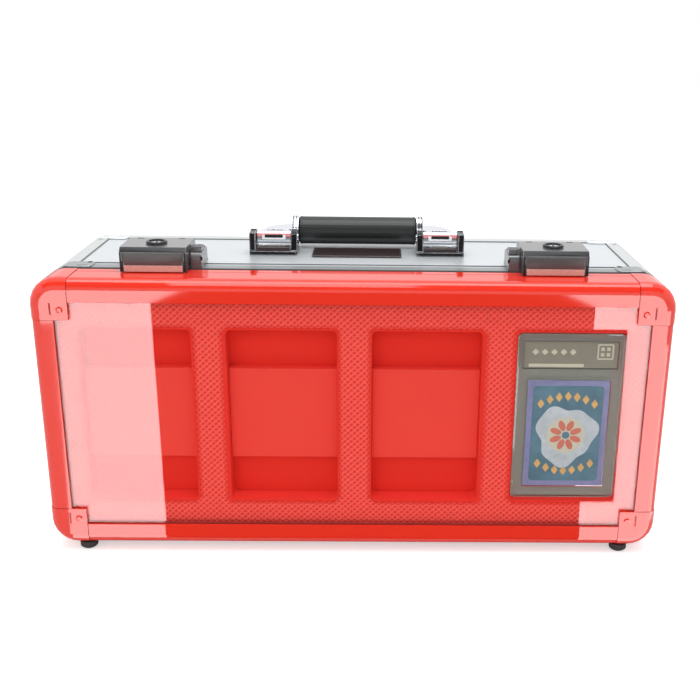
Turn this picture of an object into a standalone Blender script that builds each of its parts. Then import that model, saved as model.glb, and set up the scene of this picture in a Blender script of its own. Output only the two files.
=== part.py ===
"""Storage case for graded trading cards: aluminium case with a hinged window lid.

Metres, +Z up. The origin is on the floor at the middle of the case. The lid and its
window face -Y, the handle and the latches are on the top side.
"""

import math

import bmesh
import bpy
from mathutils import Vector

# Case
CASE_WIDTH = 0.482
CASE_HEIGHT = 0.217
CASE_DEPTH = 0.170
LID_DEPTH = 0.036
CORNER_RADIUS = 0.020
FOOT_HEIGHT = 0.007
SEAM_GAP = 0.0008
FIT_GAP = 0.0003
OVERRUN = 0.002
ARC_STEPS = 6
FINE_STEPS = 4

# Lid rails, corner castings and window
LID_RAIL_WIDTH = 0.0175
LID_EDGE_RADIUS = 0.008
LID_WALL = 0.0022
LID_LIP = 0.0016
LID_FLANGE = 0.0014
LID_FLANGE_REACH = 0.0105
LID_BEAD_WIDTH = 0.004
LID_BEAD_DEPTH = 0.005
LID_GROOVE_SETBACK = 0.008
LID_GROOVE_WIDTH = 0.001
LID_GROOVE_DEPTH = 0.0005
CASTING_PROUD = 0.0004
CASTING_LEG_X = 0.029
CASTING_LEG_Z = 0.031
CASTING_BEVEL = 0.006
CASTING_RIVET_INSET = 0.023
RIVET_RADIUS = 0.0028
RIVET_HEIGHT = 0.0012
WINDOW_THICKNESS = 0.0025
WINDOW_INSET = 0.0079
WINDOW_RADIUS = 0.012
SEAL_THICKNESS = 0.001
SEAL_INSET = 0.0080
SEAL_REACH = 0.0183

# Body rims, edge extrusions and panels
RIM_DEPTH = 0.016
RIM_LEG = 0.025
RIM_CHAMFER = 0.0006
RIM_LEDGE = 0.006
REAR_RADIUS = 0.004
REAR_LIP = 0.006
REAR_SHELF = 0.004
PANEL_THICKNESS = 0.004
PANEL_DROP = 0.0006
BACK_DROP = 0.0008
EDGE_LEG = 0.024
EDGE_GRIP = 0.006
LEDGE_THICKNESS = 0.0015

# Display tray
TRAY_FACE_SETBACK = 0.0086
TRAY_INSET = 0.011
TRAY_RADIUS = 0.010
TRAY_BACK_SETBACK = 0.041
TRAY_CENTRE_DROP = 0.001
POCKET_SIDE_ROOM = 0.0015
POCKET_END_ROOM = 0.0035
POCKET_WALL = 0.0266
POCKET_RADIUS = 0.004
PLATFORM_DROP = 0.008
PLATFORM_SIDE_MARGIN = 0.0065
PLATFORM_RADIUS = 0.003
RECESS_DROP = 0.016
RECESS_HEIGHT = 0.033

# Storage foam behind the tray
WELL_CLEARANCE = 0.004
WELL_FLOOR = 0.006
WELL_RADIUS = 0.003

# Displayed card slab
CARD_WIDTH = 0.0635
CARD_HEIGHT = 0.0889
CARD_SIDE_MARGIN = 0.0095
CARD_BOTTOM_MARGIN = 0.010
CARD_LABEL_GAP = 0.0101
LABEL_HEIGHT = 0.021
LABEL_SIDE_MARGIN = 0.00525
LABEL_TOP_MARGIN = 0.0065
SLAB_THICKNESS = 0.0064
SLAB_RADIUS = 0.003
SLAB_RIM = 0.0015
SLAB_FRONT_SKIN = 0.0022
INSERT_THICKNESS = 0.0006
INSERT_CLEARANCE = 0.0006

# Feet
FOOT_RADIUS = 0.007
FOOT_TIP_RADIUS = 0.0045
FOOT_EDGE = 0.002
FOOT_SIDE_INSET = 0.026
FOOT_FRONT_INSET = 0.0105
FOOT_REAR_INSET = 0.016
ROUND_STEPS = 16

# Hinges under the seam
HINGE_END_INSET = 0.101
HINGE_WIDTH = 0.040
HINGE_LEAF_DEPTH = 0.015
HINGE_LEAF_THICKNESS = 0.0012
HINGE_AXIS_DROP = 0.0030
HINGE_KNUCKLE_RADIUS = 0.0024
HINGE_PIN_RADIUS = 0.0013
HINGE_PIN_CLEARANCE = 0.0003
HINGE_WIDTH_SHARES = (0.30, 0.40, 0.30)

# Name plate
PLATE_WIDTH = 0.073
PLATE_DEPTH = 0.033
PLATE_THICKNESS = 0.0010
PLATE_SETBACK = 0.102
PLATE_RADIUS = 0.002

# Handle
HANDLE_SPAN = 0.137
HANDLE_AXIS_SETBACK = 0.106
HANDLE_AXIS_HEIGHT = 0.012
HANDLE_BASE_WIDTH = 0.039
HANDLE_BASE_FRONT = 0.014
HANDLE_BASE_REAR = 0.013
HANDLE_PLATE_THICKNESS = 0.003
HANDLE_EAR_THICKNESS = 0.005
HANDLE_EAR_RADIUS = 0.0065
HANDLE_PIN_RADIUS = 0.0025
HANDLE_PIN_CLEARANCE = 0.0003
HANDLE_ARM_LENGTH = 0.0265
HANDLE_ARM_LIFT = 0.0008
HANDLE_ARM_THICKNESS = 0.008
HANDLE_EYE_RADIUS = 0.0052
HANDLE_NECK_WIDTH = 0.019
HANDLE_NECK_LENGTH = 0.012
HANDLE_COLLAR_THICKNESS = 0.004
HANDLE_COLLAR_SPREAD = 0.0005
HANDLE_SLOT_LENGTH = 0.004
HANDLE_SLOT_WIDTH = 0.013
HANDLE_SLOT_SETBACK = 0.0075
GRIP_LENGTH = 0.099
GRIP_RADIUS = 0.0115
GRIP_END_RADIUS = 0.0105

# Latches
LATCH_END_INSET = 0.089
HASP_WIDTH = 0.050
HASP_FRONT_SETBACK = 0.024
HASP_HEIGHT = 0.019
HASP_WALL = 0.0025
HASP_CHAMFER = 0.0035
HASP_AXIS_SETBACK = 0.061
HASP_AXIS_HEIGHT = 0.0085
HASP_EAR_RADIUS = 0.0052
HASP_BRIDGE_REACH = 0.0040
HASP_BRIDGE_SLOPE = 0.0020
HASP_LEG_CLEARANCE = 0.0006
HASP_BODY_CLEARANCE = 0.0008
HASP_MOUTH_HEIGHT = 0.0062
HASP_MOUTH_MARGIN = 0.0030
HASP_PIN_RADIUS = 0.0020
HASP_PIN_CLEARANCE = 0.0003
LATCH_PLATE_THICKNESS = 0.0025
LATCH_PLATE_REACH = 0.0060
LATCH_LUG_THICKNESS = 0.0045
LATCH_LUG_RADIUS = 0.0045
LATCH_HOUSING_WIDTH = 0.030
LATCH_HOUSING_DEPTH = 0.016
LATCH_HOUSING_HEIGHT = 0.008
LATCH_SEAT_MARGIN = 0.0015
POD_WIDTH = 0.0088
POD_DEPTH = 0.029
POD_HEIGHT = 0.0125
POD_RADIUS = 0.0040
POD_SLOT_WIDTH = 0.0034
POD_SLOT_DEPTH = 0.0050
BUTTON_TRAVEL = 0.005
BUTTON_LENGTH = 0.012
BUTTON_HEIGHT = 0.0036
BUTTON_SIDE_MARGIN = 0.0006
BUTTON_STEM_LENGTH = 0.008
BUTTON_RIB_COUNT = 4
BUTTON_RIB_DEPTH = 0.0008
LOCK_SETBACK = 0.042
LOCK_RING_RADIUS = 0.0078
LOCK_RING_HEIGHT = 0.0014
LOCK_PLUG_RADIUS = 0.0055
LOCK_PLUG_CLEARANCE = 0.0003
LOCK_PLUG_DROP = 0.0003
LOCK_FLANGE_THICKNESS = 0.0012
LOCK_FLANGE_SPREAD = 0.0008
KEYWAY_WIDTH = 0.0014
KEYWAY_LENGTH = 0.0068
KEYWAY_DEPTH = 0.0035
CATCH_WIDTH = 0.043
CATCH_HEIGHT = 0.0048
CATCH_THICKNESS = 0.0018
CATCH_BASE_DEPTH = 0.008
CATCH_BASE_THICKNESS = 0.0012
CATCH_NOSE = 0.0012

# Planes that the sizes above give
SIDE = CASE_WIDTH / 2
RIVET_PROUD = RIVET_HEIGHT / 2
REAR = (CASE_DEPTH + RIVET_PROUD) / 2
FRONT = REAR - CASE_DEPTH
SEAM = FRONT + LID_DEPTH
BOTTOM = FOOT_HEIGHT
TOP = BOTTOM + CASE_HEIGHT
MIDDLE = BOTTOM + CASE_HEIGHT / 2
RAIL_FRONT = FRONT + CASTING_PROUD
LID_BACK = SEAM - SEAM_GAP / 2
BODY_FRONT = SEAM + SEAM_GAP / 2
LIP_BACK = RAIL_FRONT + LID_LIP
WINDOW_FRONT = LIP_BACK + FIT_GAP
WINDOW_BACK = WINDOW_FRONT + WINDOW_THICKNESS
SEAL_FRONT = WINDOW_BACK + FIT_GAP
SEAL_BACK = SEAL_FRONT + SEAL_THICKNESS
FLANGE_FRONT = SEAL_BACK + FIT_GAP
LEDGE_OUTER = PANEL_DROP + PANEL_THICKNESS + FIT_GAP
INNER = LEDGE_OUTER + LEDGE_THICKNESS
PANEL_FRONT = BODY_FRONT + RIM_DEPTH + FIT_GAP
PANEL_BACK = REAR - RIM_DEPTH - FIT_GAP
PANEL_TOP = TOP - PANEL_DROP
SLAB_WIDTH = CARD_WIDTH + 2 * CARD_SIDE_MARGIN
SLAB_HEIGHT = CARD_BOTTOM_MARGIN + CARD_HEIGHT + CARD_LABEL_GAP + LABEL_HEIGHT + LABEL_TOP_MARGIN
LABEL_WIDTH = SLAB_WIDTH - 2 * LABEL_SIDE_MARGIN
POCKET_WIDTH = SLAB_WIDTH + POCKET_SIDE_ROOM
POCKET_HEIGHT = SLAB_HEIGHT + POCKET_END_ROOM
POCKET_PITCH = POCKET_WIDTH + POCKET_WALL
POCKET_COUNT = int((CASE_WIDTH - 2 * LID_RAIL_WIDTH) / POCKET_PITCH)
PLATFORM_WIDTH = POCKET_WIDTH - 2 * PLATFORM_SIDE_MARGIN
PLATFORM_HEIGHT = POCKET_HEIGHT - 2 * RECESS_HEIGHT
TRAY_FACE = FRONT + TRAY_FACE_SETBACK
TRAY_BACK = FRONT + TRAY_BACK_SETBACK
TRAY_MIDDLE = MIDDLE - TRAY_CENTRE_DROP
PLATFORM_FACE = TRAY_FACE + PLATFORM_DROP
RECESS_FLOOR = TRAY_FACE + RECESS_DROP
BACK_SHELF = BACK_DROP + PANEL_THICKNESS + FIT_GAP
SLAB_BACK = PLATFORM_FACE - FIT_GAP
SLAB_FRONT = SLAB_BACK - SLAB_THICKNESS
HASP_UNDERSIDE = LATCH_PLATE_THICKNESS + HASP_BODY_CLEARANCE
HASP_CEILING = HASP_HEIGHT - HASP_WALL
HASP_AXIS_Y = FRONT + HASP_AXIS_SETBACK
HASP_AXIS_Z = TOP + HASP_AXIS_HEIGHT
HANDLE_AXIS_Y = FRONT + HANDLE_AXIS_SETBACK
HANDLE_AXIS_Z = TOP + HANDLE_AXIS_HEIGHT
HINGE_OFFSET = SIDE - HINGE_END_INSET
HINGE_AXIS_Z = BOTTOM - HINGE_AXIS_DROP
LATCH_OFFSET = SIDE - LATCH_END_INSET
POD_INNER = LATCH_OFFSET - HASP_WIDTH / 2 - POD_WIDTH - HASP_LEG_CLEARANCE
POD_MIDDLE = POD_INNER + POD_WIDTH / 2
POD_BACK = HASP_AXIS_Y + LATCH_PLATE_REACH
POD_FRONT = POD_BACK - POD_DEPTH
BUTTON_FRONT = POD_FRONT + POD_RADIUS

# Colours (linear RGB), roughness and metallic value of each finish
RED_ANODISED = ((0.50, 0.012, 0.016), 0.28, 1.0)
RED_TRAY = ((0.42, 0.010, 0.014), 0.60, 0.0)
SILVER_SKIN = ((0.68, 0.72, 0.73), 0.35, 0.9)
SILVER_EXTRUSION = ((0.62, 0.64, 0.65), 0.30, 1.0)
GREY_RIM = ((0.16, 0.17, 0.18), 0.40, 0.8)
BLACK_FOAM = ((0.02, 0.02, 0.02), 0.90, 0.0)
BLACK_METAL = ((0.012, 0.012, 0.013), 0.38, 0.3)
BLACK_RUBBER = ((0.02, 0.02, 0.02), 0.75, 0.0)
BLACK_GRIP = ((0.012, 0.012, 0.012), 0.45, 0.0)
CHROME = ((0.75, 0.76, 0.77), 0.12, 1.0)
CLEAR_ACRYLIC = ((0.97, 0.97, 0.97), 0.02, 0.0)
LABEL_PAPER = ((0.72, 0.74, 0.78), 0.50, 0.0)
CARD_PAPER = ((0.16, 0.17, 0.48), 0.40, 0.0)


def clear_scene():
    for obj in list(bpy.data.objects):
        bpy.data.objects.remove(obj, do_unlink=True)


def finish_material(name, finish):
    """One Principled BSDF per piece."""
    colour, roughness, metallic = finish
    material = bpy.data.materials.new(name)
    material.use_nodes = True
    shader = material.node_tree.nodes["Principled BSDF"]
    shader.inputs["Base Color"].default_value = (*colour, 1.0)
    shader.inputs["Roughness"].default_value = roughness
    shader.inputs["Metallic"].default_value = metallic
    if finish is CLEAR_ACRYLIC:
        shader.inputs["Transmission Weight"].default_value = 1.0
    return material


def axis_empty(name, location):
    """An empty on a joint's axis, which the moving pieces hang from."""
    empty = bpy.data.objects.new(name, None)
    empty.location = location
    empty.empty_display_size = OVERRUN
    bpy.context.collection.objects.link(empty)
    return empty


def add_piece(name, bm, finish, parent=None):
    """A mesh drawn in world places, hung from its parent empty."""
    bmesh.ops.recalc_face_normals(bm, faces=bm.faces)
    mesh = bpy.data.meshes.new(name)
    bm.to_mesh(mesh)
    bm.free()
    obj = bpy.data.objects.new(name, mesh)
    bpy.context.collection.objects.link(obj)
    if finish is not None:
        mesh.materials.append(finish_material(name, finish))
        mesh.shade_smooth()
        mesh.set_sharp_from_angle(angle=math.radians(30))
    if parent is not None:
        obj.parent = parent
        obj.location = -parent.location
    return obj


def combine(obj, bm, operation, name):
    """Cuts a helper shape from a piece, or joins it on."""
    helper = add_piece(f"{operation.lower()}_{obj.name}_{name}", bm, None, obj.parent)
    helper.hide_render = True
    helper.display_type = "WIRE"
    modifier = obj.modifiers.new(name, "BOOLEAN")
    modifier.operation = operation
    modifier.solver = "EXACT"
    modifier.object = helper
    return obj


def cut(obj, bm, name):
    return combine(obj, bm, "DIFFERENCE", name)


def join(obj, bm, name):
    return combine(obj, bm, "UNION", name)


def loft(loops, closed=False):
    """Skins loops of points, with a cap at each end or round on itself."""
    bm = bmesh.new()
    rings = [[bm.verts.new(point) for point in loop] for loop in loops]
    pairs = list(zip(rings, rings[1:]))
    if closed:
        pairs.append((rings[-1], rings[0]))
    for low, high in pairs:
        for index in range(len(low)):
            after = (index + 1) % len(low)
            bm.faces.new((low[index], low[after], high[after], high[index]))
    if not closed:
        bm.faces.new(reversed(rings[0]))
        bm.faces.new(rings[-1])
    return bm


def along_x(points, start, end):
    """A (y, z) outline extruded along X."""
    return loft([[(x, y, z) for y, z in points] for x in (start, end)])


def along_y(points, start, end):
    """An (x, z) outline extruded along Y."""
    return loft([[(x, y, z) for x, z in points] for y in (start, end)])


def along_z(points, start, end):
    """An (x, y) outline extruded along Z."""
    return loft([[(x, y, z) for x, y in points] for z in (start, end)])


def box(low, high):
    corners = ((low[0], low[1]), (high[0], low[1]), (high[0], high[1]), (low[0], high[1]))
    return along_z(corners, low[2], high[2])


def arc(centre, radius, start, end, steps=FINE_STEPS):
    """Points on an arc, with the angles in degrees from the first axis."""
    points = []
    for step in range(steps + 1):
        angle = math.radians(start + (end - start) * step / steps)
        points.append((centre[0] + radius * math.cos(angle), centre[1] + radius * math.sin(angle)))
    return points


def rounded_rectangle(width, height, radius, centre=(0, 0), steps=FINE_STEPS):
    points = []
    for turn, (side, rise) in enumerate(((1, 1), (-1, 1), (-1, -1), (1, -1))):
        middle = (
            centre[0] + side * (width / 2 - radius),
            centre[1] + rise * (height / 2 - radius),
        )
        points += arc(middle, radius, turn * 90, turn * 90 + 90, steps)
    return points


def disc(centre, radius, steps=ROUND_STEPS):
    return arc(centre, radius, 0, 360, steps)[:-1]


def turned(profile, place, steps=ROUND_STEPS):
    """Turns (radius, height) points about an axis, where place(radius x, radius y, height) is a point."""
    loops = []
    for radius, height in profile:
        loops.append([place(x, y, height) for x, y in disc((0, 0), radius, steps)])
    return loft(loops)


def edge_point(side, along, inset, y):
    """A point on one side of the case: inset from its outer plane, along its length."""
    return {
        "top": (along, y, TOP - inset),
        "bottom": (along, y, BOTTOM + inset),
        "left": (-SIDE + inset, y, along),
        "right": (SIDE - inset, y, along),
    }[side]


def edge_span(side, leg_x, leg_z):
    """Where a rail starts and ends between two corner pieces."""
    if side in ("top", "bottom"):
        return -SIDE + leg_x, SIDE - leg_x
    return BOTTOM + leg_z, TOP - leg_z


def rail(name, side, profile, span, finish, parent=None):
    """A straight extrusion of (inset, y) points along one side of the case."""
    loops = [[edge_point(side, along, inset, y) for inset, y in profile] for along in span]
    return add_piece(name, loft(loops), finish, parent)


def corner_loop(side, rise, outline, y):
    """Points of a corner piece, given as insets from the side plane and the top or bottom plane."""
    return [(side * (SIDE - a), y, MIDDLE + rise * (CASE_HEIGHT / 2 - b)) for a, b in outline]


def corner_outline(inset, leg_x, leg_z):
    """The corner block's outline with its outer edge inset, round the case's corner radius."""
    radius = CORNER_RADIUS - inset
    bend = arc((CORNER_RADIUS, CORNER_RADIUS), radius, 270, 180, ARC_STEPS)
    return [(leg_x, inset), *bend, (inset, leg_z), (leg_x, leg_z)]


def ring(profile):
    """Sweeps (inset, y) points round the whole case outline."""
    loops = []
    for inset, y in profile:
        outline = rounded_rectangle(
            CASE_WIDTH - 2 * inset,
            CASE_HEIGHT - 2 * inset,
            max(CORNER_RADIUS - inset, FIT_GAP),
            (0, MIDDLE),
        )
        loops.append([(x, y, z) for x, z in outline])
    return loft(loops, closed=True)


def corners():
    for rise, level in ((1, "top"), (-1, "bottom")):
        for side, hand in ((-1, "left"), (1, "right")):
            yield side, rise, f"{level}_{hand}"


def lid_rail_profile():
    """Outer skin with a rounded front edge, window lip, seal seat, flange and seam bead."""
    groove = LID_BACK - LID_GROOVE_SETBACK
    bend = arc((LID_EDGE_RADIUS, RAIL_FRONT + LID_EDGE_RADIUS), LID_EDGE_RADIUS, 180, 270, ARC_STEPS)
    return [
        (0, LID_BACK),
        (0, groove + LID_GROOVE_WIDTH),
        (LID_GROOVE_DEPTH, groove + LID_GROOVE_WIDTH),
        (LID_GROOVE_DEPTH, groove),
        (0, groove),
        *bend,
        (LID_RAIL_WIDTH, RAIL_FRONT),
        (LID_RAIL_WIDTH, LIP_BACK),
        (WINDOW_INSET - FIT_GAP, LIP_BACK),
        (WINDOW_INSET - FIT_GAP, FLANGE_FRONT),
        (LID_FLANGE_REACH, FLANGE_FRONT),
        (LID_FLANGE_REACH, FLANGE_FRONT + LID_FLANGE),
        (LID_WALL, FLANGE_FRONT + LID_FLANGE),
        (LID_WALL, LID_BACK - LID_BEAD_DEPTH),
        (LID_BEAD_WIDTH, LID_BACK - LID_BEAD_DEPTH),
        (LID_BEAD_WIDTH, LID_BACK),
    ]


def build_lid_frame(lid):
    profile = lid_rail_profile()
    for side in ("top", "bottom", "left", "right"):
        start, end = edge_span(side, CASTING_LEG_X + FIT_GAP, CASTING_LEG_Z + FIT_GAP)
        rail(f"lid_rail_{side}", side, profile, (start, end), RED_ANODISED, lid)
    for side, rise, place in corners():
        build_lid_casting(f"lid_corner_{place}", side, rise, lid)


def build_lid_casting(name, side, rise, lid):
    """Corner casting: rounded outside, hollow behind, its face covering the window's corner."""
    edge = LID_EDGE_RADIUS + CASTING_PROUD
    loops = []
    for inset, y in arc((edge - CASTING_PROUD, FRONT + edge), edge, 270, 180, FINE_STEPS):
        loops.append(corner_loop(side, rise, corner_outline(inset, CASTING_LEG_X, CASTING_LEG_Z), y))
    outline = corner_outline(-CASTING_PROUD, CASTING_LEG_X, CASTING_LEG_Z)
    loops.append(corner_loop(side, rise, outline, LID_BACK))
    casting = add_piece(name, loft(loops), RED_ANODISED, lid)
    hollow = []
    levels = (
        (CASTING_BEVEL, LIP_BACK),
        (LID_WALL, FRONT + edge),
        (LID_WALL, LID_BACK + OVERRUN),
    )
    for inset, y in levels:
        outline = corner_outline(inset, CASTING_LEG_X + OVERRUN, CASTING_LEG_Z + OVERRUN)
        hollow.append(corner_loop(side, rise, outline, y))
    cut(casting, loft(hollow), "hollow")
    middle = Vector(corner_loop(side, rise, [(CASTING_RIVET_INSET, CASTING_RIVET_INSET)], FRONT)[0])
    profile = (
        (RIVET_RADIUS, RIVET_HEIGHT),
        (RIVET_RADIUS, 0),
        (RIVET_RADIUS - RIVET_HEIGHT, -RIVET_PROUD),
    )
    rivet = turned(profile, lambda x, z, y: middle + Vector((x, y, z)), ROUND_STEPS // 2)
    return join(casting, rivet, "rivet")


def build_window(lid):
    def outline(inset):
        width, height = CASE_WIDTH - 2 * inset, CASE_HEIGHT - 2 * inset
        return rounded_rectangle(width, height, WINDOW_RADIUS, (0, MIDDLE))

    add_piece("window", along_y(outline(WINDOW_INSET), WINDOW_FRONT, WINDOW_BACK), CLEAR_ACRYLIC, lid)
    loops = []
    for reach, y in (
        (SEAL_INSET, SEAL_FRONT),
        (SEAL_INSET, SEAL_BACK),
        (SEAL_REACH, SEAL_BACK),
        (SEAL_REACH, SEAL_FRONT),
    ):
        radius = WINDOW_RADIUS if reach == SEAL_INSET else PLATFORM_RADIUS
        points = rounded_rectangle(
            CASE_WIDTH - 2 * reach, CASE_HEIGHT - 2 * reach, radius, (0, MIDDLE)
        )
        loops.append([(x, y, z) for x, z in points])
    add_piece("window_seal", loft(loops, closed=True), BLACK_RUBBER, lid)


def front_rim_profile():
    """Solid nose at the seam, with a ledge behind it under the panel."""
    back = BODY_FRONT + RIM_DEPTH
    return [
        (RIM_CHAMFER, BODY_FRONT),
        (0, BODY_FRONT + RIM_CHAMFER),
        (0, back - RIM_CHAMFER),
        (RIM_CHAMFER, back),
        (LEDGE_OUTER, back),
        (LEDGE_OUTER, back + RIM_LEDGE),
        (INNER, back + RIM_LEDGE),
        (INNER, BODY_FRONT),
    ]


def corner_section(leg):
    """Rounded outside and square inside, from the outer planes."""
    bend = arc((CORNER_RADIUS, CORNER_RADIUS), CORNER_RADIUS, 270, 180, ARC_STEPS)
    return [(leg, 0), *bend, (0, leg), (INNER, leg), (INNER, INNER), (leg, INNER)]


def build_front_rim():
    profile = front_rim_profile()
    for side in ("top", "bottom", "left", "right"):
        start, end = edge_span(side, RIM_LEG + FIT_GAP, RIM_LEG + FIT_GAP)
        rail(f"front_rim_{side}", side, profile, (start, end), GREY_RIM)
    for side, rise, place in corners():
        section = corner_section(RIM_LEG)
        loops = [corner_loop(side, rise, section, y) for y in (BODY_FRONT, BODY_FRONT + RIM_DEPTH)]
        add_piece(f"front_rim_corner_{place}", loft(loops), GREY_RIM)


def build_rear_rim():
    """One bent ring round the back, with a shelf that the back panel rests on."""
    bend = arc((REAR_RADIUS, REAR - REAR_RADIUS), REAR_RADIUS, 180, 90, FINE_STEPS)
    profile = [
        (0, REAR - RIM_DEPTH),
        *bend,
        (REAR_LIP, REAR),
        (REAR_LIP, REAR - BACK_SHELF),
        (REAR_LIP + REAR_SHELF, REAR - BACK_SHELF),
        (REAR_LIP + REAR_SHELF, REAR - BACK_SHELF - LEDGE_THICKNESS),
        (INNER, REAR - BACK_SHELF - LEDGE_THICKNESS),
        (INNER, REAR - RIM_DEPTH),
    ]
    add_piece("rear_rim", ring(profile), SILVER_EXTRUSION)


def edge_section():
    """Quarter-round extrusion with a slot in each leg for a panel's edge."""
    bend = arc((CORNER_RADIUS, CORNER_RADIUS), CORNER_RADIUS, 270, 180, ARC_STEPS)
    skin = PANEL_DROP - FIT_GAP
    root = EDGE_LEG - EDGE_GRIP
    return [
        (EDGE_LEG, 0),
        *bend,
        (0, EDGE_LEG),
        (skin, EDGE_LEG),
        (skin, root),
        (LEDGE_OUTER, root),
        (LEDGE_OUTER, EDGE_LEG),
        (INNER, EDGE_LEG),
        (INNER, INNER),
        (EDGE_LEG, INNER),
        (EDGE_LEG, LEDGE_OUTER),
        (root, LEDGE_OUTER),
        (root, skin),
        (EDGE_LEG, skin),
    ]


def build_edges():
    for side, rise, place in corners():
        loops = [corner_loop(side, rise, edge_section(), y) for y in (PANEL_FRONT, PANEL_BACK)]
        add_piece(f"edge_{place}", loft(loops), SILVER_EXTRUSION)


def build_panels():
    tuck = EDGE_LEG - EDGE_GRIP + FIT_GAP
    depth = (PANEL_DROP, PANEL_DROP + PANEL_THICKNESS)
    for side in ("top", "bottom", "left", "right"):
        profile = [
            (depth[0], PANEL_FRONT),
            (depth[0], PANEL_BACK),
            (depth[1], PANEL_BACK),
            (depth[1], PANEL_FRONT),
        ]
        rail(f"{side}_panel", side, profile, edge_span(side, tuck, tuck), SILVER_SKIN)
    inset = REAR_LIP + FIT_GAP
    outline = rounded_rectangle(
        CASE_WIDTH - 2 * inset, CASE_HEIGHT - 2 * inset, CORNER_RADIUS - inset, (0, MIDDLE)
    )
    back = REAR - BACK_DROP
    add_piece("back_panel", along_y(outline, back - PANEL_THICKNESS, back), SILVER_SKIN)


def pocket_centres():
    first = -(POCKET_COUNT - 1) / 2 * POCKET_PITCH
    return [first + index * POCKET_PITCH for index in range(POCKET_COUNT)]


def build_tray():
    outline = rounded_rectangle(
        CASE_WIDTH - 2 * TRAY_INSET, CASE_HEIGHT - 2 * TRAY_INSET, TRAY_RADIUS, (0, MIDDLE)
    )
    face = add_piece("tray_face", along_y(outline, TRAY_FACE, RECESS_FLOOR - FIT_GAP), RED_TRAY)
    core = add_piece("tray_core", along_y(outline, RECESS_FLOOR, TRAY_BACK), RED_TRAY)
    for number, x in enumerate(pocket_centres(), 1):
        pocket = rounded_rectangle(POCKET_WIDTH, POCKET_HEIGHT, POCKET_RADIUS, (x, TRAY_MIDDLE))
        cut(face, along_y(pocket, TRAY_FACE - OVERRUN, RECESS_FLOOR + OVERRUN), f"pocket_{number}")
        island = rounded_rectangle(
            PLATFORM_WIDTH, PLATFORM_HEIGHT, PLATFORM_RADIUS, (x, TRAY_MIDDLE)
        )
        join(core, along_y(island, PLATFORM_FACE, RECESS_FLOOR + OVERRUN), f"platform_{number}")


def build_storage_foam():
    """Foam block behind the tray, with a well behind each pocket."""
    inset = INNER + FIT_GAP
    outline = rounded_rectangle(
        CASE_WIDTH - 2 * inset, CASE_HEIGHT - 2 * inset, CORNER_RADIUS - inset, (0, MIDDLE)
    )
    front = TRAY_BACK + FIT_GAP
    back = REAR - BACK_SHELF - LEDGE_THICKNESS - FIT_GAP
    foam = add_piece("storage_foam", along_y(outline, front, back), BLACK_FOAM)
    for number, x in enumerate(pocket_centres(), 1):
        well = rounded_rectangle(
            POCKET_WIDTH + WELL_CLEARANCE,
            POCKET_HEIGHT + WELL_CLEARANCE,
            WELL_RADIUS,
            (x, TRAY_MIDDLE),
        )
        cut(foam, along_y(well, front - OVERRUN, back - WELL_FLOOR), f"well_{number}")


def build_slab():
    """Clear slab with a label and a card in recesses that open behind, on the last platform."""
    x = pocket_centres()[-1]
    bottom = TRAY_MIDDLE - SLAB_HEIGHT / 2
    top = TRAY_MIDDLE + SLAB_HEIGHT / 2

    def slab_loop(shrink, y):
        points = rounded_rectangle(
            SLAB_WIDTH - 2 * shrink, SLAB_HEIGHT - 2 * shrink, SLAB_RADIUS, (x, TRAY_MIDDLE)
        )
        return [(px, y, pz) for px, pz in points]

    loops = [
        slab_loop(SLAB_RIM, SLAB_FRONT),
        slab_loop(0, SLAB_FRONT + SLAB_RIM),
        slab_loop(0, SLAB_BACK),
    ]
    shell = add_piece("slab_shell", loft(loops), CLEAR_ACRYLIC)
    insert_front = SLAB_FRONT + SLAB_FRONT_SKIN
    label_middle = top - LABEL_TOP_MARGIN - LABEL_HEIGHT / 2
    card_middle = bottom + CARD_BOTTOM_MARGIN + CARD_HEIGHT / 2
    inserts = (
        ("slab_label", LABEL_WIDTH, LABEL_HEIGHT, label_middle, LABEL_PAPER),
        ("slab_card", CARD_WIDTH, CARD_HEIGHT, card_middle, CARD_PAPER),
    )
    for name, width, height, middle, finish in inserts:
        half, rise = width / 2, height / 2
        wide, tall = half + INSERT_CLEARANCE, rise + INSERT_CLEARANCE
        recess = box(
            (x - wide, insert_front, middle - tall), (x + wide, SLAB_BACK + OVERRUN, middle + tall)
        )
        cut(shell, recess, f"{name}_recess")
        near = insert_front + FIT_GAP
        paper = box((x - half, near, middle - rise), (x + half, near + INSERT_THICKNESS, middle + rise))
        add_piece(name, paper, finish)


def build_feet(lid):
    """Two rubber feet under the lid and two under the body."""
    profile = (
        (FOOT_TIP_RADIUS, 0),
        (FOOT_RADIUS - FOOT_EDGE / 2, FOOT_EDGE / 2),
        (FOOT_RADIUS, FOOT_EDGE),
        (FOOT_RADIUS, FOOT_HEIGHT - CASTING_PROUD - FIT_GAP),
    )
    spots = (
        ("front", FRONT + FOOT_FRONT_INSET, lid),
        ("rear", REAR - FOOT_REAR_INSET, None),
    )
    for row, y, parent in spots:
        for side, hand in ((-1, "left"), (1, "right")):
            middle = Vector((side * (SIDE - FOOT_SIDE_INSET), y, 0))
            foot = turned(profile, lambda dx, dy, z: middle + Vector((dx, dy, z)))
            add_piece(f"foot_{row}_{hand}", foot, BLACK_RUBBER, parent)


def hinge_leaf_outline(direction, drop):
    """Leaf on the case's underside with a stem to its knuckle, as (y, z) points."""
    upper = BOTTOM - FIT_GAP
    lower = upper - HINGE_LEAF_THICKNESS
    tip = SEAM + direction * HINGE_LEAF_DEPTH
    stem = SEAM + direction * drop
    return [(stem, upper), (tip, upper), (tip, lower), (stem, lower)]


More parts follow.
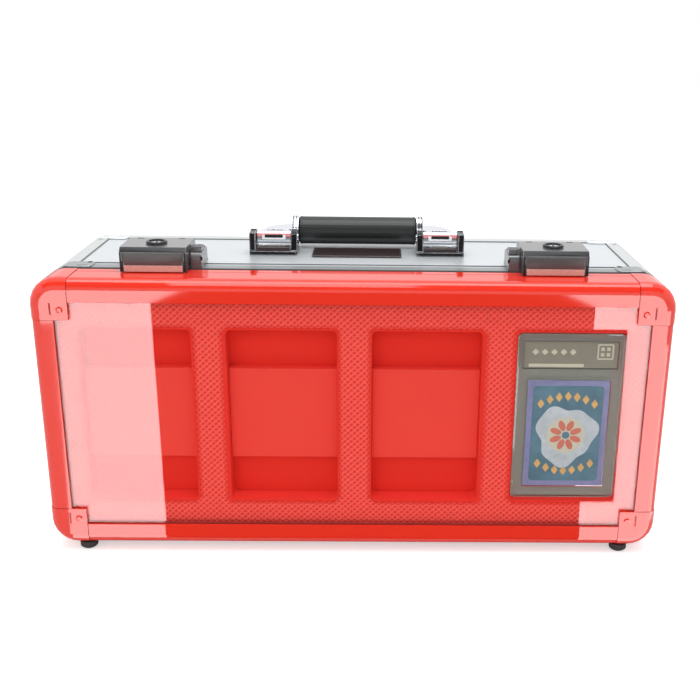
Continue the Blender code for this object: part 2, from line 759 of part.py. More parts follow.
def build_hinge(side, hand, lid):
    """Butt hinge: the body leaf has the outer knuckles and the pin, the lid leaf the middle one."""
    middle = side * HINGE_OFFSET
    lows = [middle - HINGE_WIDTH / 2]
    for share in HINGE_WIDTH_SHARES:
        lows.append(lows[-1] + share * HINGE_WIDTH)
    axis = (SEAM, HINGE_AXIS_Z)
    body = add_piece(
        f"hinge_body_leaf_{hand}",
        along_x(hinge_leaf_outline(1, SEAM_GAP), lows[0], lows[3]),
        SILVER_EXTRUSION,
    )
    leaf = add_piece(
        f"hinge_lid_leaf_{hand}",
        along_x(hinge_leaf_outline(-1, SEAM_GAP), lows[0], lows[3]),
        SILVER_EXTRUSION,
        lid,
    )
    gap = HINGE_PIN_CLEARANCE
    room = disc(axis, HINGE_KNUCKLE_RADIUS + gap)
    cut(body, along_x(room, lows[1] - gap, lows[2] + gap), "lid_knuckle_room")
    for number in (0, 2):
        low, high = lows[number], lows[number + 1]
        join(body, along_x(disc(axis, HINGE_KNUCKLE_RADIUS), low, high), f"knuckle_{number}")
        start, end = (low - OVERRUN, high + gap) if number == 0 else (low - gap, high + OVERRUN)
        cut(leaf, along_x(room, start, end), f"room_{number}")
    join(body, along_x(disc(axis, HINGE_PIN_RADIUS), lows[0] + gap, lows[3] - gap), "pin")
    knuckle = along_x(disc(axis, HINGE_KNUCKLE_RADIUS), lows[1] + gap, lows[2] - gap)
    join(leaf, knuckle, "knuckle")
    bore = disc(axis, HINGE_PIN_RADIUS + gap)
    cut(leaf, along_x(bore, lows[1] - OVERRUN, lows[2] + OVERRUN), "pin_bore")


def build_name_plate():
    y = FRONT + PLATE_SETBACK
    low = PANEL_TOP + FIT_GAP
    outline = rounded_rectangle(PLATE_WIDTH, PLATE_DEPTH, PLATE_RADIUS, (0, y))
    add_piece("name_plate", along_z(outline, low, low + PLATE_THICKNESS), BLACK_METAL)


def build_handle_base(side, hand):
    """Bracket on the top panel: a plate, two rounded ears and the pin between them."""
    middle = side * HANDLE_SPAN / 2
    low_x, high_x = middle - HANDLE_BASE_WIDTH / 2, middle + HANDLE_BASE_WIDTH / 2
    floor = PANEL_TOP + FIT_GAP
    front = HANDLE_AXIS_Y - HANDLE_BASE_FRONT
    rear = HANDLE_AXIS_Y + HANDLE_BASE_REAR
    plate = rounded_rectangle(
        HANDLE_BASE_WIDTH, rear - front, PLATE_RADIUS, (middle, (front + rear) / 2)
    )
    base = add_piece(
        f"handle_base_{hand}", along_z(plate, floor, floor + HANDLE_PLATE_THICKNESS), BLACK_METAL
    )
    ear = [
        (rear - PLATE_RADIUS, floor + FIT_GAP),
        *arc((HANDLE_AXIS_Y, HANDLE_AXIS_Z), HANDLE_EAR_RADIUS, 0, 180, ARC_STEPS),
        (front + PLATE_RADIUS, floor + FIT_GAP),
    ]
    ears = (("low", low_x + FIT_GAP), ("high", high_x - FIT_GAP - HANDLE_EAR_THICKNESS))
    for name, start in ears:
        join(base, along_x(ear, start, start + HANDLE_EAR_THICKNESS), f"ear_{name}")
    pin = disc((HANDLE_AXIS_Y, HANDLE_AXIS_Z), HANDLE_PIN_RADIUS)
    join(base, along_x(pin, low_x + 2 * FIT_GAP, high_x - 2 * FIT_GAP), "pin")


def arm_outline(side):
    """Plan of a handle arm: eye between the ears, neck, then a sweep in to the grip's end."""
    middle = HANDLE_SPAN / 2
    eye = HANDLE_BASE_WIDTH / 2 - HANDLE_EAR_THICKNESS - 2 * FIT_GAP
    neck = HANDLE_NECK_WIDTH / 2
    neck_y = HANDLE_AXIS_Y + HANDLE_NECK_LENGTH
    grip_y = HANDLE_AXIS_Y + HANDLE_ARM_LENGTH
    collar_x = GRIP_LENGTH / 2 + FIT_GAP
    outer = neck_y - grip_y + GRIP_RADIUS
    far = middle + neck - collar_x - HANDLE_COLLAR_THICKNESS
    sweep = []
    for step in range(ARC_STEPS + 1):
        angle = math.pi / 2 * step / ARC_STEPS
        x = collar_x + HANDLE_COLLAR_THICKNESS + far * math.cos(angle)
        y = neck_y + (grip_y + GRIP_END_RADIUS - neck_y) * math.sin(angle)
        sweep.append((x, y))
    points = [
        (middle - eye, HANDLE_AXIS_Y - HANDLE_EYE_RADIUS),
        (middle + eye, HANDLE_AXIS_Y - HANDLE_EYE_RADIUS),
        (middle + eye, HANDLE_AXIS_Y + HANDLE_EYE_RADIUS),
        *sweep,
        (collar_x + FIT_GAP, grip_y + GRIP_END_RADIUS),
        (collar_x + FIT_GAP, grip_y - GRIP_END_RADIUS + outer / 2),
        (middle - neck, neck_y),
        (middle - eye, HANDLE_AXIS_Y + HANDLE_EYE_RADIUS),
    ]
    return [(side * x, y) for x, y in points]


def build_handle_arm(side, hand, handle):
    """Cast arm: bored eye on the pin, window slot, and a round collar at the grip."""
    half = HANDLE_ARM_THICKNESS / 2
    arm = add_piece(
        f"handle_arm_{hand}",
        along_z(arm_outline(side), HANDLE_AXIS_Z - half, HANDLE_AXIS_Z + half),
        CHROME,
        handle,
    )
    middle = side * HANDLE_SPAN / 2
    eye = HANDLE_BASE_WIDTH / 2 - HANDLE_EAR_THICKNESS - FIT_GAP - HANDLE_PIN_CLEARANCE
    axis = (HANDLE_AXIS_Y, HANDLE_AXIS_Z)
    grip_axis = (HANDLE_AXIS_Y + HANDLE_ARM_LENGTH, HANDLE_AXIS_Z + HANDLE_ARM_LIFT)
    start = side * (GRIP_LENGTH / 2 + FIT_GAP)
    end = start + side * HANDLE_COLLAR_THICKNESS
    collar = disc(grip_axis, GRIP_RADIUS + HANDLE_COLLAR_SPREAD)
    join(arm, along_x(collar, start, end), "collar")
    join(arm, along_x(disc(axis, HANDLE_EYE_RADIUS), middle - eye, middle + eye), "eye")
    bore = disc(axis, HANDLE_PIN_RADIUS + HANDLE_PIN_CLEARANCE)
    reach = HANDLE_BASE_WIDTH / 2
    cut(arm, along_x(bore, middle - reach, middle + reach), "pin_bore")
    slot_y = HANDLE_AXIS_Y + HANDLE_SLOT_SETBACK
    slot_half = HANDLE_SLOT_WIDTH / 2
    slot = box(
        (middle - slot_half, slot_y, HANDLE_AXIS_Z - HANDLE_ARM_THICKNESS),
        (middle + slot_half, slot_y + HANDLE_SLOT_LENGTH, HANDLE_AXIS_Z + HANDLE_ARM_THICKNESS),
    )
    cut(arm, slot, "slot")


def build_grip(handle):
    """Round grip with rolled ends."""
    y = HANDLE_AXIS_Y + HANDLE_ARM_LENGTH
    z = HANDLE_AXIS_Z + HANDLE_ARM_LIFT
    half = GRIP_LENGTH / 2
    roll = GRIP_RADIUS - GRIP_END_RADIUS
    profile = (
        (GRIP_END_RADIUS, -half),
        (GRIP_RADIUS, -half + roll),
        (GRIP_RADIUS, half - roll),
        (GRIP_END_RADIUS, half),
    )
    grip = turned(profile, lambda dy, dz, x: Vector((x, y + dy, z + dz)), 2 * ROUND_STEPS)
    add_piece("handle_grip", grip, BLACK_GRIP, handle)


def build_latch_base(side, hand):
    """Base plate on the rim with hinge lugs and pins, a bolt housing and the button's pod."""
    centre = side * LATCH_OFFSET
    half = HASP_WIDTH / 2
    low = TOP + FIT_GAP
    front = BODY_FRONT + LATCH_SEAT_MARGIN
    back = HASP_AXIS_Y + LATCH_PLATE_REACH
    ends = sorted((side * POD_INNER, centre + side * half))
    plate = box((ends[0], front, low), (ends[1], back, TOP + LATCH_PLATE_THICKNESS))
    base = add_piece(f"latch_base_{hand}", plate, BLACK_METAL)
    housing_front = front + LATCH_SEAT_MARGIN
    housing_back = housing_front + LATCH_HOUSING_DEPTH
    housing = box(
        (centre - LATCH_HOUSING_WIDTH / 2, housing_front, low + FIT_GAP),
        (centre + LATCH_HOUSING_WIDTH / 2, housing_back, TOP + LATCH_HOUSING_HEIGHT),
    )
    join(base, housing, "housing")
    axis = (HASP_AXIS_Y, HASP_AXIS_Z)
    lug = [
        (HASP_AXIS_Y + LATCH_LUG_RADIUS, low + FIT_GAP),
        *arc(axis, LATCH_LUG_RADIUS, 0, 180, ARC_STEPS),
        (HASP_AXIS_Y - LATCH_LUG_RADIUS, low + FIT_GAP),
    ]
    inside = half - HASP_WALL - HASP_LEG_CLEARANCE
    for name, hand_side in (("low", -1), ("high", 1)):
        outer = centre + hand_side * inside
        inner = outer - hand_side * LATCH_LUG_THICKNESS
        join(base, along_x(lug, min(outer, inner), max(outer, inner)), f"lug_{name}")
        tip = centre + hand_side * (half - FIT_GAP)
        root = outer - hand_side * LATCH_LUG_THICKNESS / 2
        join(base, along_x(disc(axis, HASP_PIN_RADIUS), min(tip, root), max(tip, root)), f"pin_{name}")
    pod_x = side * POD_MIDDLE
    pod = [
        (POD_FRONT, low + FIT_GAP),
        (POD_BACK - FIT_GAP, low + FIT_GAP),
        *arc((POD_BACK - FIT_GAP - POD_RADIUS, TOP + POD_HEIGHT - POD_RADIUS), POD_RADIUS, 0, 90),
        *arc((POD_FRONT + POD_RADIUS, TOP + POD_HEIGHT - POD_RADIUS), POD_RADIUS, 90, 180),
    ]
    pod_half = POD_WIDTH / 2 - FIT_GAP
    join(base, along_x(pod, pod_x - pod_half, pod_x + pod_half), "pod")
    slot_front = BUTTON_FRONT + (BUTTON_LENGTH - BUTTON_STEM_LENGTH) / 2 - FIT_GAP
    slot_back = slot_front + BUTTON_STEM_LENGTH + BUTTON_TRAVEL + 2 * FIT_GAP
    slot = box(
        (pod_x - POD_SLOT_WIDTH / 2, slot_front, TOP + POD_HEIGHT - POD_SLOT_DEPTH),
        (pod_x + POD_SLOT_WIDTH / 2, slot_back, TOP + POD_HEIGHT + OVERRUN),
    )
    cut(base, slot, "button_slot")


def hasp_profile():
    """Side of the hasp as (y, z): nose, chamfer, top, sloping bridge end and the ear on the pin."""
    front = FRONT + HASP_FRONT_SETBACK
    step = BODY_FRONT + HASP_LEG_CLEARANCE - SEAM_GAP
    top = TOP + HASP_HEIGHT
    bridge = HASP_AXIS_Y + HASP_BRIDGE_REACH
    return [
        (front, TOP + HASP_LEG_CLEARANCE),
        (step, TOP + HASP_LEG_CLEARANCE),
        (step, TOP + HASP_UNDERSIDE),
        *arc((HASP_AXIS_Y, HASP_AXIS_Z), HASP_EAR_RADIUS, 270, 360, FINE_STEPS),
        (bridge + HASP_BRIDGE_SLOPE / 2, top - HASP_WALL),
        (bridge, top - HASP_BRIDGE_SLOPE / 2),
        (bridge - HASP_BRIDGE_SLOPE, top),
        (front + HASP_CHAMFER, top),
        (front, top - HASP_CHAMFER),
    ]


def build_hasp(side, hand, axis_parent):
    """Cover hinged at its rear: thin walls, a mouth over the catch and a ring for the lock."""
    centre = side * LATCH_OFFSET
    half = HASP_WIDTH / 2
    hasp = add_piece(
        f"hasp_{hand}", along_x(hasp_profile(), centre - half, centre + half), BLACK_METAL, axis_parent
    )
    front = FRONT + HASP_FRONT_SETBACK
    inside = half - HASP_WALL
    hollow = [
        (front + HASP_WALL, TOP - OVERRUN),
        (HASP_AXIS_Y + HASP_WIDTH, TOP - OVERRUN),
        (HASP_AXIS_Y + HASP_WIDTH, TOP + HASP_CEILING),
        (front + HASP_WALL + HASP_CHAMFER / 2, TOP + HASP_CEILING),
        (front + HASP_WALL, TOP + HASP_CEILING - HASP_CHAMFER / 2),
    ]
    cut(hasp, along_x(hollow, centre - inside, centre + inside), "hollow")
    mouth_half = half - HASP_MOUTH_MARGIN
    mouth = box(
        (centre - mouth_half, front - OVERRUN, TOP - OVERRUN),
        (centre + mouth_half, front + HASP_WALL + OVERRUN, TOP + HASP_MOUTH_HEIGHT),
    )
    cut(hasp, mouth, "mouth")
    pin_room = disc((HASP_AXIS_Y, HASP_AXIS_Z), HASP_PIN_RADIUS + HASP_PIN_CLEARANCE)
    cut(hasp, along_x(pin_room, centre - half - OVERRUN, centre + half + OVERRUN), "pin_bores")
    lock = (centre, FRONT + LOCK_SETBACK)
    ring_low = TOP + HASP_HEIGHT - HASP_WALL / 2
    ring_high = TOP + HASP_HEIGHT + LOCK_RING_HEIGHT
    join(hasp, along_z(disc(lock, LOCK_RING_RADIUS), ring_low, ring_high), "lock_ring")
    bore = disc(lock, LOCK_PLUG_RADIUS + LOCK_PLUG_CLEARANCE)
    cut(hasp, along_z(bore, TOP + HASP_CEILING - OVERRUN, ring_high + OVERRUN), "lock_bore")


def build_lock_plug(side, hand, axis_parent):
    """Round plug with a keyway, held by a flange under the hasp's top."""
    lock = (side * LATCH_OFFSET, FRONT + LOCK_SETBACK)
    high = TOP + HASP_HEIGHT + LOCK_RING_HEIGHT - LOCK_PLUG_DROP
    flange_high = TOP + HASP_CEILING - FIT_GAP
    flange_low = flange_high - LOCK_FLANGE_THICKNESS
    flange_radius = LOCK_PLUG_RADIUS + LOCK_PLUG_CLEARANCE + LOCK_FLANGE_SPREAD
    profile = (
        (flange_radius, flange_low),
        (flange_radius, flange_high),
        (LOCK_PLUG_RADIUS, flange_high),
        (LOCK_PLUG_RADIUS, high),
    )
    plug = turned(profile, lambda x, y, z: Vector((lock[0] + x, lock[1] + y, z)))
    piece = add_piece(f"lock_plug_{hand}", plug, CHROME, axis_parent)
    keyway = box(
        (lock[0] - KEYWAY_WIDTH / 2, lock[1] - KEYWAY_LENGTH / 2, high - KEYWAY_DEPTH),
        (lock[0] + KEYWAY_WIDTH / 2, lock[1] + KEYWAY_LENGTH / 2, high + OVERRUN),
    )
    cut(piece, keyway, "keyway")


def build_button(side, hand, axis_parent):
    """Ribbed slide button with a stem in the pod's slot."""
    x = side * POD_MIDDLE
    low = TOP + POD_HEIGHT + FIT_GAP
    back = BUTTON_FRONT + BUTTON_LENGTH
    rib = BUTTON_LENGTH / (2 * BUTTON_RIB_COUNT + 1)
    high = low + BUTTON_HEIGHT
    outline = [(BUTTON_FRONT, low), (back, low), (back, high - BUTTON_RIB_DEPTH)]
    for number in range(BUTTON_RIB_COUNT):
        edge = back - (2 * number + 1) * rib
        outline += [
            (edge, high - BUTTON_RIB_DEPTH),
            (edge, high),
            (edge - rib, high),
            (edge - rib, high - BUTTON_RIB_DEPTH),
        ]
    outline.append((BUTTON_FRONT, high - BUTTON_RIB_DEPTH))
    half = POD_WIDTH / 2 - BUTTON_SIDE_MARGIN
    button = add_piece(
        f"slide_button_{hand}", along_x(outline, x - half, x + half), BLACK_METAL, axis_parent
    )
    stem_front = BUTTON_FRONT + (BUTTON_LENGTH - BUTTON_STEM_LENGTH) / 2
    stem_half = POD_SLOT_WIDTH / 2 - FIT_GAP
    stem = box(
        (x - stem_half, stem_front, TOP + POD_HEIGHT - POD_SLOT_DEPTH + FIT_GAP),
        (x + stem_half, stem_front + BUTTON_STEM_LENGTH, low + BUTTON_HEIGHT / 2),
    )
    join(button, stem, "stem")


def build_catch(side, hand, lid):
    """Bright catch on the lid's top rail, under the hasp's mouth."""
    centre = side * LATCH_OFFSET
    low = TOP + FIT_GAP
    back = LID_BACK - FIT_GAP
    face = back - CATCH_BASE_DEPTH
    outline = [
        (face, low),
        (back, low),
        (back, low + CATCH_BASE_THICKNESS),
        (face + CATCH_THICKNESS, low + CATCH_BASE_THICKNESS),
        (face + CATCH_THICKNESS, TOP + CATCH_HEIGHT - CATCH_NOSE),
        (face + CATCH_THICKNESS + CATCH_NOSE, TOP + CATCH_HEIGHT),
        (face, TOP + CATCH_HEIGHT),
    ]
    half = CATCH_WIDTH / 2
    add_piece(f"lid_catch_{hand}", along_x(outline, centre - half, centre + half), CHROME, lid)


def build_latch(side, hand, lid):
    centre = side * LATCH_OFFSET
    hasp_axis = axis_empty(f"hasp_axis_{hand}", Vector((centre, HASP_AXIS_Y, HASP_AXIS_Z)))
    lock_axis = axis_empty(f"lock_axis_{hand}", Vector((centre, FRONT + LOCK_SETBACK, TOP)))
    button_axis = axis_empty(f"button_axis_{hand}", Vector((side * POD_MIDDLE, BUTTON_FRONT, TOP)))
    build_latch_base(side, hand)
    build_hasp(side, hand, hasp_axis)
    build_lock_plug(side, hand, lock_axis)
    build_button(side, hand, button_axis)
    build_catch(side, hand, lid)


def main():
    clear_scene()
    lid = axis_empty("lid_axis", Vector((0, SEAM, HINGE_AXIS_Z)))
    handle = axis_empty("handle_axis", Vector((0, HANDLE_AXIS_Y, HANDLE_AXIS_Z)))
    build_front_rim()
    build_rear_rim()
    build_edges()
    build_panels()
    build_storage_foam()
    build_tray()
    build_slab()
    build_lid_frame(lid)
    build_window(lid)
    build_feet(lid)
    build_name_plate()
    build_grip(handle)
    for side, hand in ((-1, "left"), (1, "right")):
        build_hinge(side, hand, lid)
        build_handle_base(side, hand)
        build_handle_arm(side, hand, handle)
        build_latch(side, hand, lid)


main()
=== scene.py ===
"""Looks of the graded card storage case: finishes, small fittings, light and camera.

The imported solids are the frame. Metres, +Z up, the lid and its window face -Y.
"""

import math

import bmesh
import bpy
from bpy.props import FloatProperty, FloatVectorProperty, PointerProperty
from mathutils import Matrix, Vector


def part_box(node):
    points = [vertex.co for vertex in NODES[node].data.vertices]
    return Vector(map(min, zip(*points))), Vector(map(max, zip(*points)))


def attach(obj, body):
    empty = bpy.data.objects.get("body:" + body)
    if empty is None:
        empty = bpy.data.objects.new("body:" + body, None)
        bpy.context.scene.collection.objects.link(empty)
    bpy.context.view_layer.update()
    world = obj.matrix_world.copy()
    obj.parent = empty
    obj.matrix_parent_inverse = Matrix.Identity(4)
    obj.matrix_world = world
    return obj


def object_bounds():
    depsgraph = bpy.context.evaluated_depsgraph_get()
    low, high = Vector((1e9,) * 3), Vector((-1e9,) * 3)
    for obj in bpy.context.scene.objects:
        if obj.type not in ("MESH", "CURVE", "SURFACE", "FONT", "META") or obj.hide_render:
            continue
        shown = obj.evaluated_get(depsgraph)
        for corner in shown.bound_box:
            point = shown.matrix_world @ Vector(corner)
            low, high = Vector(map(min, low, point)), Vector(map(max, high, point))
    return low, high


bl_info = {
    "name": "Graded Card Case Looks",
    "version": (1, 0, 0),
    "blender": (4, 5, 0),
    "location": "View3D > Sidebar > Card Case",
    "description": "Dresses a latched card storage case with finishes, fittings and a studio",
    "category": "Object",
}

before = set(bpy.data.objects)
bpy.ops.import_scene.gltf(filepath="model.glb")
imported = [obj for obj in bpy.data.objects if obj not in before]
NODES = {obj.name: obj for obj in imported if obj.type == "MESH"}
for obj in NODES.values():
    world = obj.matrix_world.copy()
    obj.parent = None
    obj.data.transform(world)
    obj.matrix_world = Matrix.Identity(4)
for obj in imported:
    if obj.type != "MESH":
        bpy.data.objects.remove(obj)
CAD_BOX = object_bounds()

HANDS = ((-1, "left"), (1, "right"))
LEVELS = ((1, "top"), (-1, "bottom"))
CORNERS = [(side, rise, f"{level}_{hand}") for rise, level in LEVELS for side, hand in HANDS]
SIDES = ("top", "bottom", "left", "right")
ENDS = (-1, 1)
FOOT_ROWS = (("front", "lid"), ("rear", "case"))
HINGE_LEAVES = (("body", "case"), ("lid", "lid"))

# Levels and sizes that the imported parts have
CORNER_RADIUS = 0.020
RIVET_INSET = 0.023
POCKET_COUNT = 4
POCKET_PITCH = 0.1106
POCKET_SIZE = (0.084, 0.140)
POCKET_RADIUS = 0.004
PLATFORM_HEIGHT = 0.074
PLATFORM_DROP = 0.008
RECESS_DROP = 0.016
HASP_TOP = 0.2430
HASP_CHAMFER = 0.0035
LOCK_RING = 0.0078
LOCK_RING_TOP = 0.2444
POD_TOP = 0.2365
HANDLE_AXIS = (0.0213, 0.2360)
BRACKET_PLATE_TOP = 0.2267
LEAF_FACE = 0.0055

# Sizes of the small fittings
SHARP_ANGLE = math.radians(32)
ROUND_STEPS = 16
LOCK_STEPS = 32
GRIP_STEPS = 40
SLIT_OFFSET = 0.0066
GASKET_REACH = 0.0034
BEAD_RADIUS = 0.0012
BEAD_SECTION = (
    (-0.0008, -0.0010), (-0.0008, -0.0001), (-0.0001, 0.0001), (0.0003, 0.0001), (0.0003, -0.0010),
)
TONGUE_START = 0.0165
TONGUE_END = 0.0375
CAP_INSET = (0.0270, 0.0128)
CAP_SIZE = (0.026, 0.0150)
CAP_RIVET = 0.0070
HINGE_SCREW_INSET = 0.0035
HINGE_SCREW_PITCH = 0.0135
CORNER_CUT = 2.6
POCKET_GAP = 0.4
PIT_SHARE = (0.58, 0.40)
SINK = 0.0001
INK_FOOT = -0.00004
INK_STEP = 0.00003
LOZENGE = ((0.0026, 0.0), (0.0, 0.0026), (-0.0026, 0.0), (0.0, -0.0026))
ROSETTE_RISE = -0.001
SKIRT_LIFT = 0.0054
RIB_COUNT = 29
HASP_SLOT = (0.0160, -0.0240)
ARCH_Y = -0.0228
SLOT_TILT = math.radians(14)
BRACKET_RIVET = (0.0085, 0.0045)

# Studio, and the plan of the cards that only glossy rays see
FLOOR_REACH = 6.0
FLOOR_WHITE = 0.82
FLOOR_GLOW = 0.5
LAMP_TARGET = (0, 0, 0.1)
KEY_PLACE, KEY_SIZE = (0.1, -0.2, 1.9), (1.8, 1.4)
FILL_PLACE, FILL_SIZE = (-0.4, -1.9, 1.3), (1.6, 1.0)
CARD_REACH = 0.905
CARD_SIDE = 0.75
CARD_STEP = ((-0.228, 0.0), (-0.433, 0.635), (-0.66, 0.655))
DARK_NOTCH = ((0.077, 0.0), (0.077, 0.0295), (0.620, 0.0475), (0.620, 0.0))
DARK_LEFT = -0.1517
DARK_RIGHT = 0.1819
DARK_SPREAD = (0.2304, 0.222)
DARK_SHOULDER = 0.741
DARK_BOW = 0.155
DARK_POWER = 3
DARK_STEPS = 16
FLAG = ((-2.2, -1.7, 0.75), (2.2, -1.7, 0.75), (2.2, -1.2, 2.4), (-2.2, -1.2, 2.4))


def colour_property(name, description, default):
    return FloatVectorProperty(
        name=name, description=description, default=default, size=3, min=0.0, max=1.0, subtype="COLOR"
    )


def length_property(name, description, default):
    return FloatProperty(
        name=name, description=description, default=default, min=0.0, soft_max=1.0, unit="LENGTH", precision=5
    )


def number_property(name, description, default, **options):
    return FloatProperty(name=name, description=description, default=default, **options)


class CaseColours(bpy.types.PropertyGroup):
    """Base colours of the finishes, in linear RGB."""

    lacquer: colour_property("Red lacquer", "Paint on the lid's rails and corners", (0.80, 0.036, 0.018))
    foam: colour_property("Tray foam", "Red foam of the display tray", (0.84, 0.040, 0.026))
    # The grain's pit colour is painted shade in the pits, and its ridge colour is a painted highlight on the
    # ridges.
    pit: colour_property("Grain pits", "Foam at the bottom of the grain", (0.84, 0.048, 0.036))
    crest: colour_property("Grain ridges", "Foam on the ridges of the grain", (0.97, 0.150, 0.122))
    # The platforms' lighter foam is painted light: lit platforms against the shaded recesses.
    platform: colour_property("Platforms", "Lighter foam of the pockets' platforms", (0.87, 0.068, 0.050))
    front: colour_property("Latch fronts", "Dark front walls of the latches", (0.085, 0.086, 0.088))
    laminate: colour_property("Laminate", "Silver skin of the panels", (0.68, 0.71, 0.735))
    extrusion: colour_property("Extrusion", "Bare aluminium edges", (0.70, 0.73, 0.73))
    bead: colour_property("Panel bead", "Dark line between the panels and the edges", (0.14, 0.145, 0.15))
    rim: colour_property("Rim", "Grey anodised rim at the seam", (0.050, 0.045, 0.050))
    tongue: colour_property("Tongues", "Grey tongues of the rim corners", (0.33, 0.35, 0.35))
    # On the arms' slot frames this pale colour is a painted highlight of chrome.
    cap: colour_property("Caps", "Pale caps and slot frames", (0.82, 0.84, 0.85))
    gunmetal: colour_property("Gunmetal", "Dark plating of the latches", (0.075, 0.075, 0.082))
    shade: colour_property("Dark plating", "Chamfers and bezels of the latches", (0.018, 0.019, 0.021))
    bracket: colour_property("Brackets", "Black plating of the handle brackets", (0.010, 0.010, 0.012))
    chrome: colour_property("Chrome", "Plated arms and plugs", (0.78, 0.79, 0.86))
    # The catches' pale warm colour is a painted reflection in plated metal.
    catch: colour_property("Catch", "Warm plating of the latches' lips and catches", (0.74, 0.42, 0.36))
    grip: colour_property("Grip", "Black sleeve of the grip", (0.015, 0.017, 0.017))
    rubber: colour_property("Rubber", "Feet, gasket and dark slots", (0.010, 0.010, 0.011))
    seal: colour_property("Seal", "Dark red edge round the window", (0.42, 0.035, 0.028))
    storage: colour_property("Storage foam", "Black foam behind the tray", (0.016, 0.016, 0.017))
    # The dark plate's red cast is a painted reflection of the red lid.
    plate: colour_property("Name plate", "Dark plate on the top", (0.035, 0.021, 0.022))
    acrylic: colour_property("Acrylic", "Clear window and slab", (0.98, 0.985, 0.99))
    backing: colour_property("Slab backing", "Grey insert round the label and card", (0.29, 0.29, 0.245))
    label: colour_property("Label", "Dark label of the slab", (0.235, 0.215, 0.160))
    cream: colour_property("Cream ink", "Pale marks on the label and card", (0.60, 0.56, 0.43))
    card: colour_property("Card border", "Border of the displayed card", (0.22, 0.22, 0.40))
    teal: colour_property("Card field", "Middle of the displayed card", (0.085, 0.180, 0.235))
    mist: colour_property("Card cloud", "Pale cloud in the card's field", (0.50, 0.55, 0.58))
    gold: colour_property("Gold ink", "Ornament above and below the rosette", (0.72, 0.42, 0.13))
    coral: colour_property("Coral ink", "Petals of the rosette", (0.62, 0.16, 0.10))


class StudioSettings(bpy.types.PropertyGroup):
    """Camera and light of the studio."""

    distance: length_property("Distance", "Camera to the origin, along the depth", 0.8150)
    offset: length_property("Offset", "Camera to the right of the middle", 0.01646)
    height: length_property("Height", "Camera above the floor", 0.4046)
    pitch: number_property("Pitch", "Camera tilt down", 0.3343, subtype="ANGLE")
    yaw: number_property("Yaw", "Camera turn about the vertical", -0.0162, subtype="ANGLE")
    roll: number_property("Roll", "Camera turn about its own axis", 0.0132, subtype="ANGLE")
    lens: number_property("Lens", "Focal length in millimetres", 52.433)
    shift_x: number_property("Shift X", "Horizontal lens shift", -0.0594)
    shift_y: number_property("Shift Y", "Vertical lens shift", 0.0382)
    sky: number_property("Sky", "Strength of the world on the object", 0.62)
    key: number_property("Key", "Power of the overhead softbox", 26.0, unit="POWER")
    fill: number_property("Fill", "Power of the front softbox", 10.0, unit="POWER")
    card_light: number_property("Side cards", "Brightness of the reflected side cards", 5.7)
    card_dark: number_property("Middle card", "Brightness of the reflected dark card", 0.02)
    flag: number_property("Flag", "Brightness of the dark flag above the camera", 0.05)


class GrainSizes(bpy.types.PropertyGroup):
    """Embossed grain of the display tray."""

    pitch_x: length_property("Pitch across", "Distance between pits along a row", 0.0050)
    pitch_z: length_property("Pitch down", "Distance between two rows in line", 0.0047)
    depth: length_property("Depth", "Height of the ridges above the pits", 0.0004)
    floor: length_property("Sheet", "Thickness under the pits", 0.0002)
    border: length_property("Border", "Width of the plain edge round a pocket", 0.0018)
    margin: length_property("Margin", "Plain edge of the tray behind the rails", 0.0040)


def colours():
    return bpy.context.scene.case_colours


# Mesh helpers

def link_mesh(name, bm, look, body):
    """Turns a bmesh into a smooth piece with its finish, which rides on a body."""
    bmesh.ops.recalc_face_normals(bm, faces=bm.faces)
    mesh = bpy.data.meshes.new(name)
    bm.to_mesh(mesh)
    bm.free()
    mesh.shade_smooth()
    mesh.set_sharp_from_angle(angle=SHARP_ANGLE)
    mesh.materials.append(surface(look))
    piece = bpy.data.objects.new(name, mesh)
    bpy.context.scene.collection.objects.link(piece)
    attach(piece, body)
    return piece


def skin(loops, closed=False, bm=None):
    """Skins loops of points, capped at both ends unless they close on themselves."""
    bm = bm or bmesh.new()
    rings = [[bm.verts.new(point) for point in loop] for loop in loops]
    pairs = list(zip(rings, rings[1:]))
    if closed:
        pairs.append((rings[-1], rings[0]))
    for low, high in pairs:
        for index in range(len(low)):
            after = (index + 1) % len(low)
            bm.faces.new((low[index], low[after], high[after], high[index]))
    if not closed:
        bm.faces.new(reversed(rings[0]))
        bm.faces.new(rings[-1])
    return bm


def arc(centre, radius, start, end, steps=6):
    points = []
    for step in range(steps + 1):
        angle = math.radians(start + (end - start) * step / steps)
        points.append((centre[0] + radius * math.cos(angle), centre[1] + radius * math.sin(angle)))
    return points


def circle(centre, radius, steps=ROUND_STEPS):
    return arc(centre, radius, 0, 360, steps)[:-1]


def rounded_rectangle(width, height, radius, centre=(0, 0), steps=6):
    points = []
    for turn, (side, rise) in enumerate(((1, 1), (-1, 1), (-1, -1), (1, -1))):
        middle = (centre[0] + side * (width / 2 - radius), centre[1] + rise * (height / 2 - radius))
        points += arc(middle, radius, turn * 90, turn * 90 + 90, steps)
    return points


def facing_front(front):
    """Places plan points (across, up) on a plane, with height out towards the lid."""
    return lambda a, b, out: (a, front - out, b)


def facing_up(level):
    """Places plan points (across, back) on a plane, with height up."""
    return lambda a, b, out: (a, b, level + out)


def around(centre, place):
    """The same placing with its plan moved to a centre."""
    return lambda a, b, out: place(centre[0] + a, centre[1] + b, out)


def middle_of(box, axes="xz"):
    """Middle of a box in two of its axes."""
    low, high = box
    return tuple((getattr(low, axis) + getattr(high, axis)) / 2 for axis in axes)


def turned(profile, place, bm=None):
    """Turns (radius, height) points; place(x, y, height) gives a point's position."""
    loops = [[place(x, y, height) for x, y in circle((0, 0), radius)] for radius, height in profile]
    return skin(loops, bm=bm)


def hoop(section, centre, place, steps, bm=None):
    """Closed ring; section is a closed loop of (radius, height)."""
    loops = [[place(a, b, height) for a, b in circle(centre, radius, steps)] for radius, height in section]
    return skin(loops, closed=True, bm=bm)


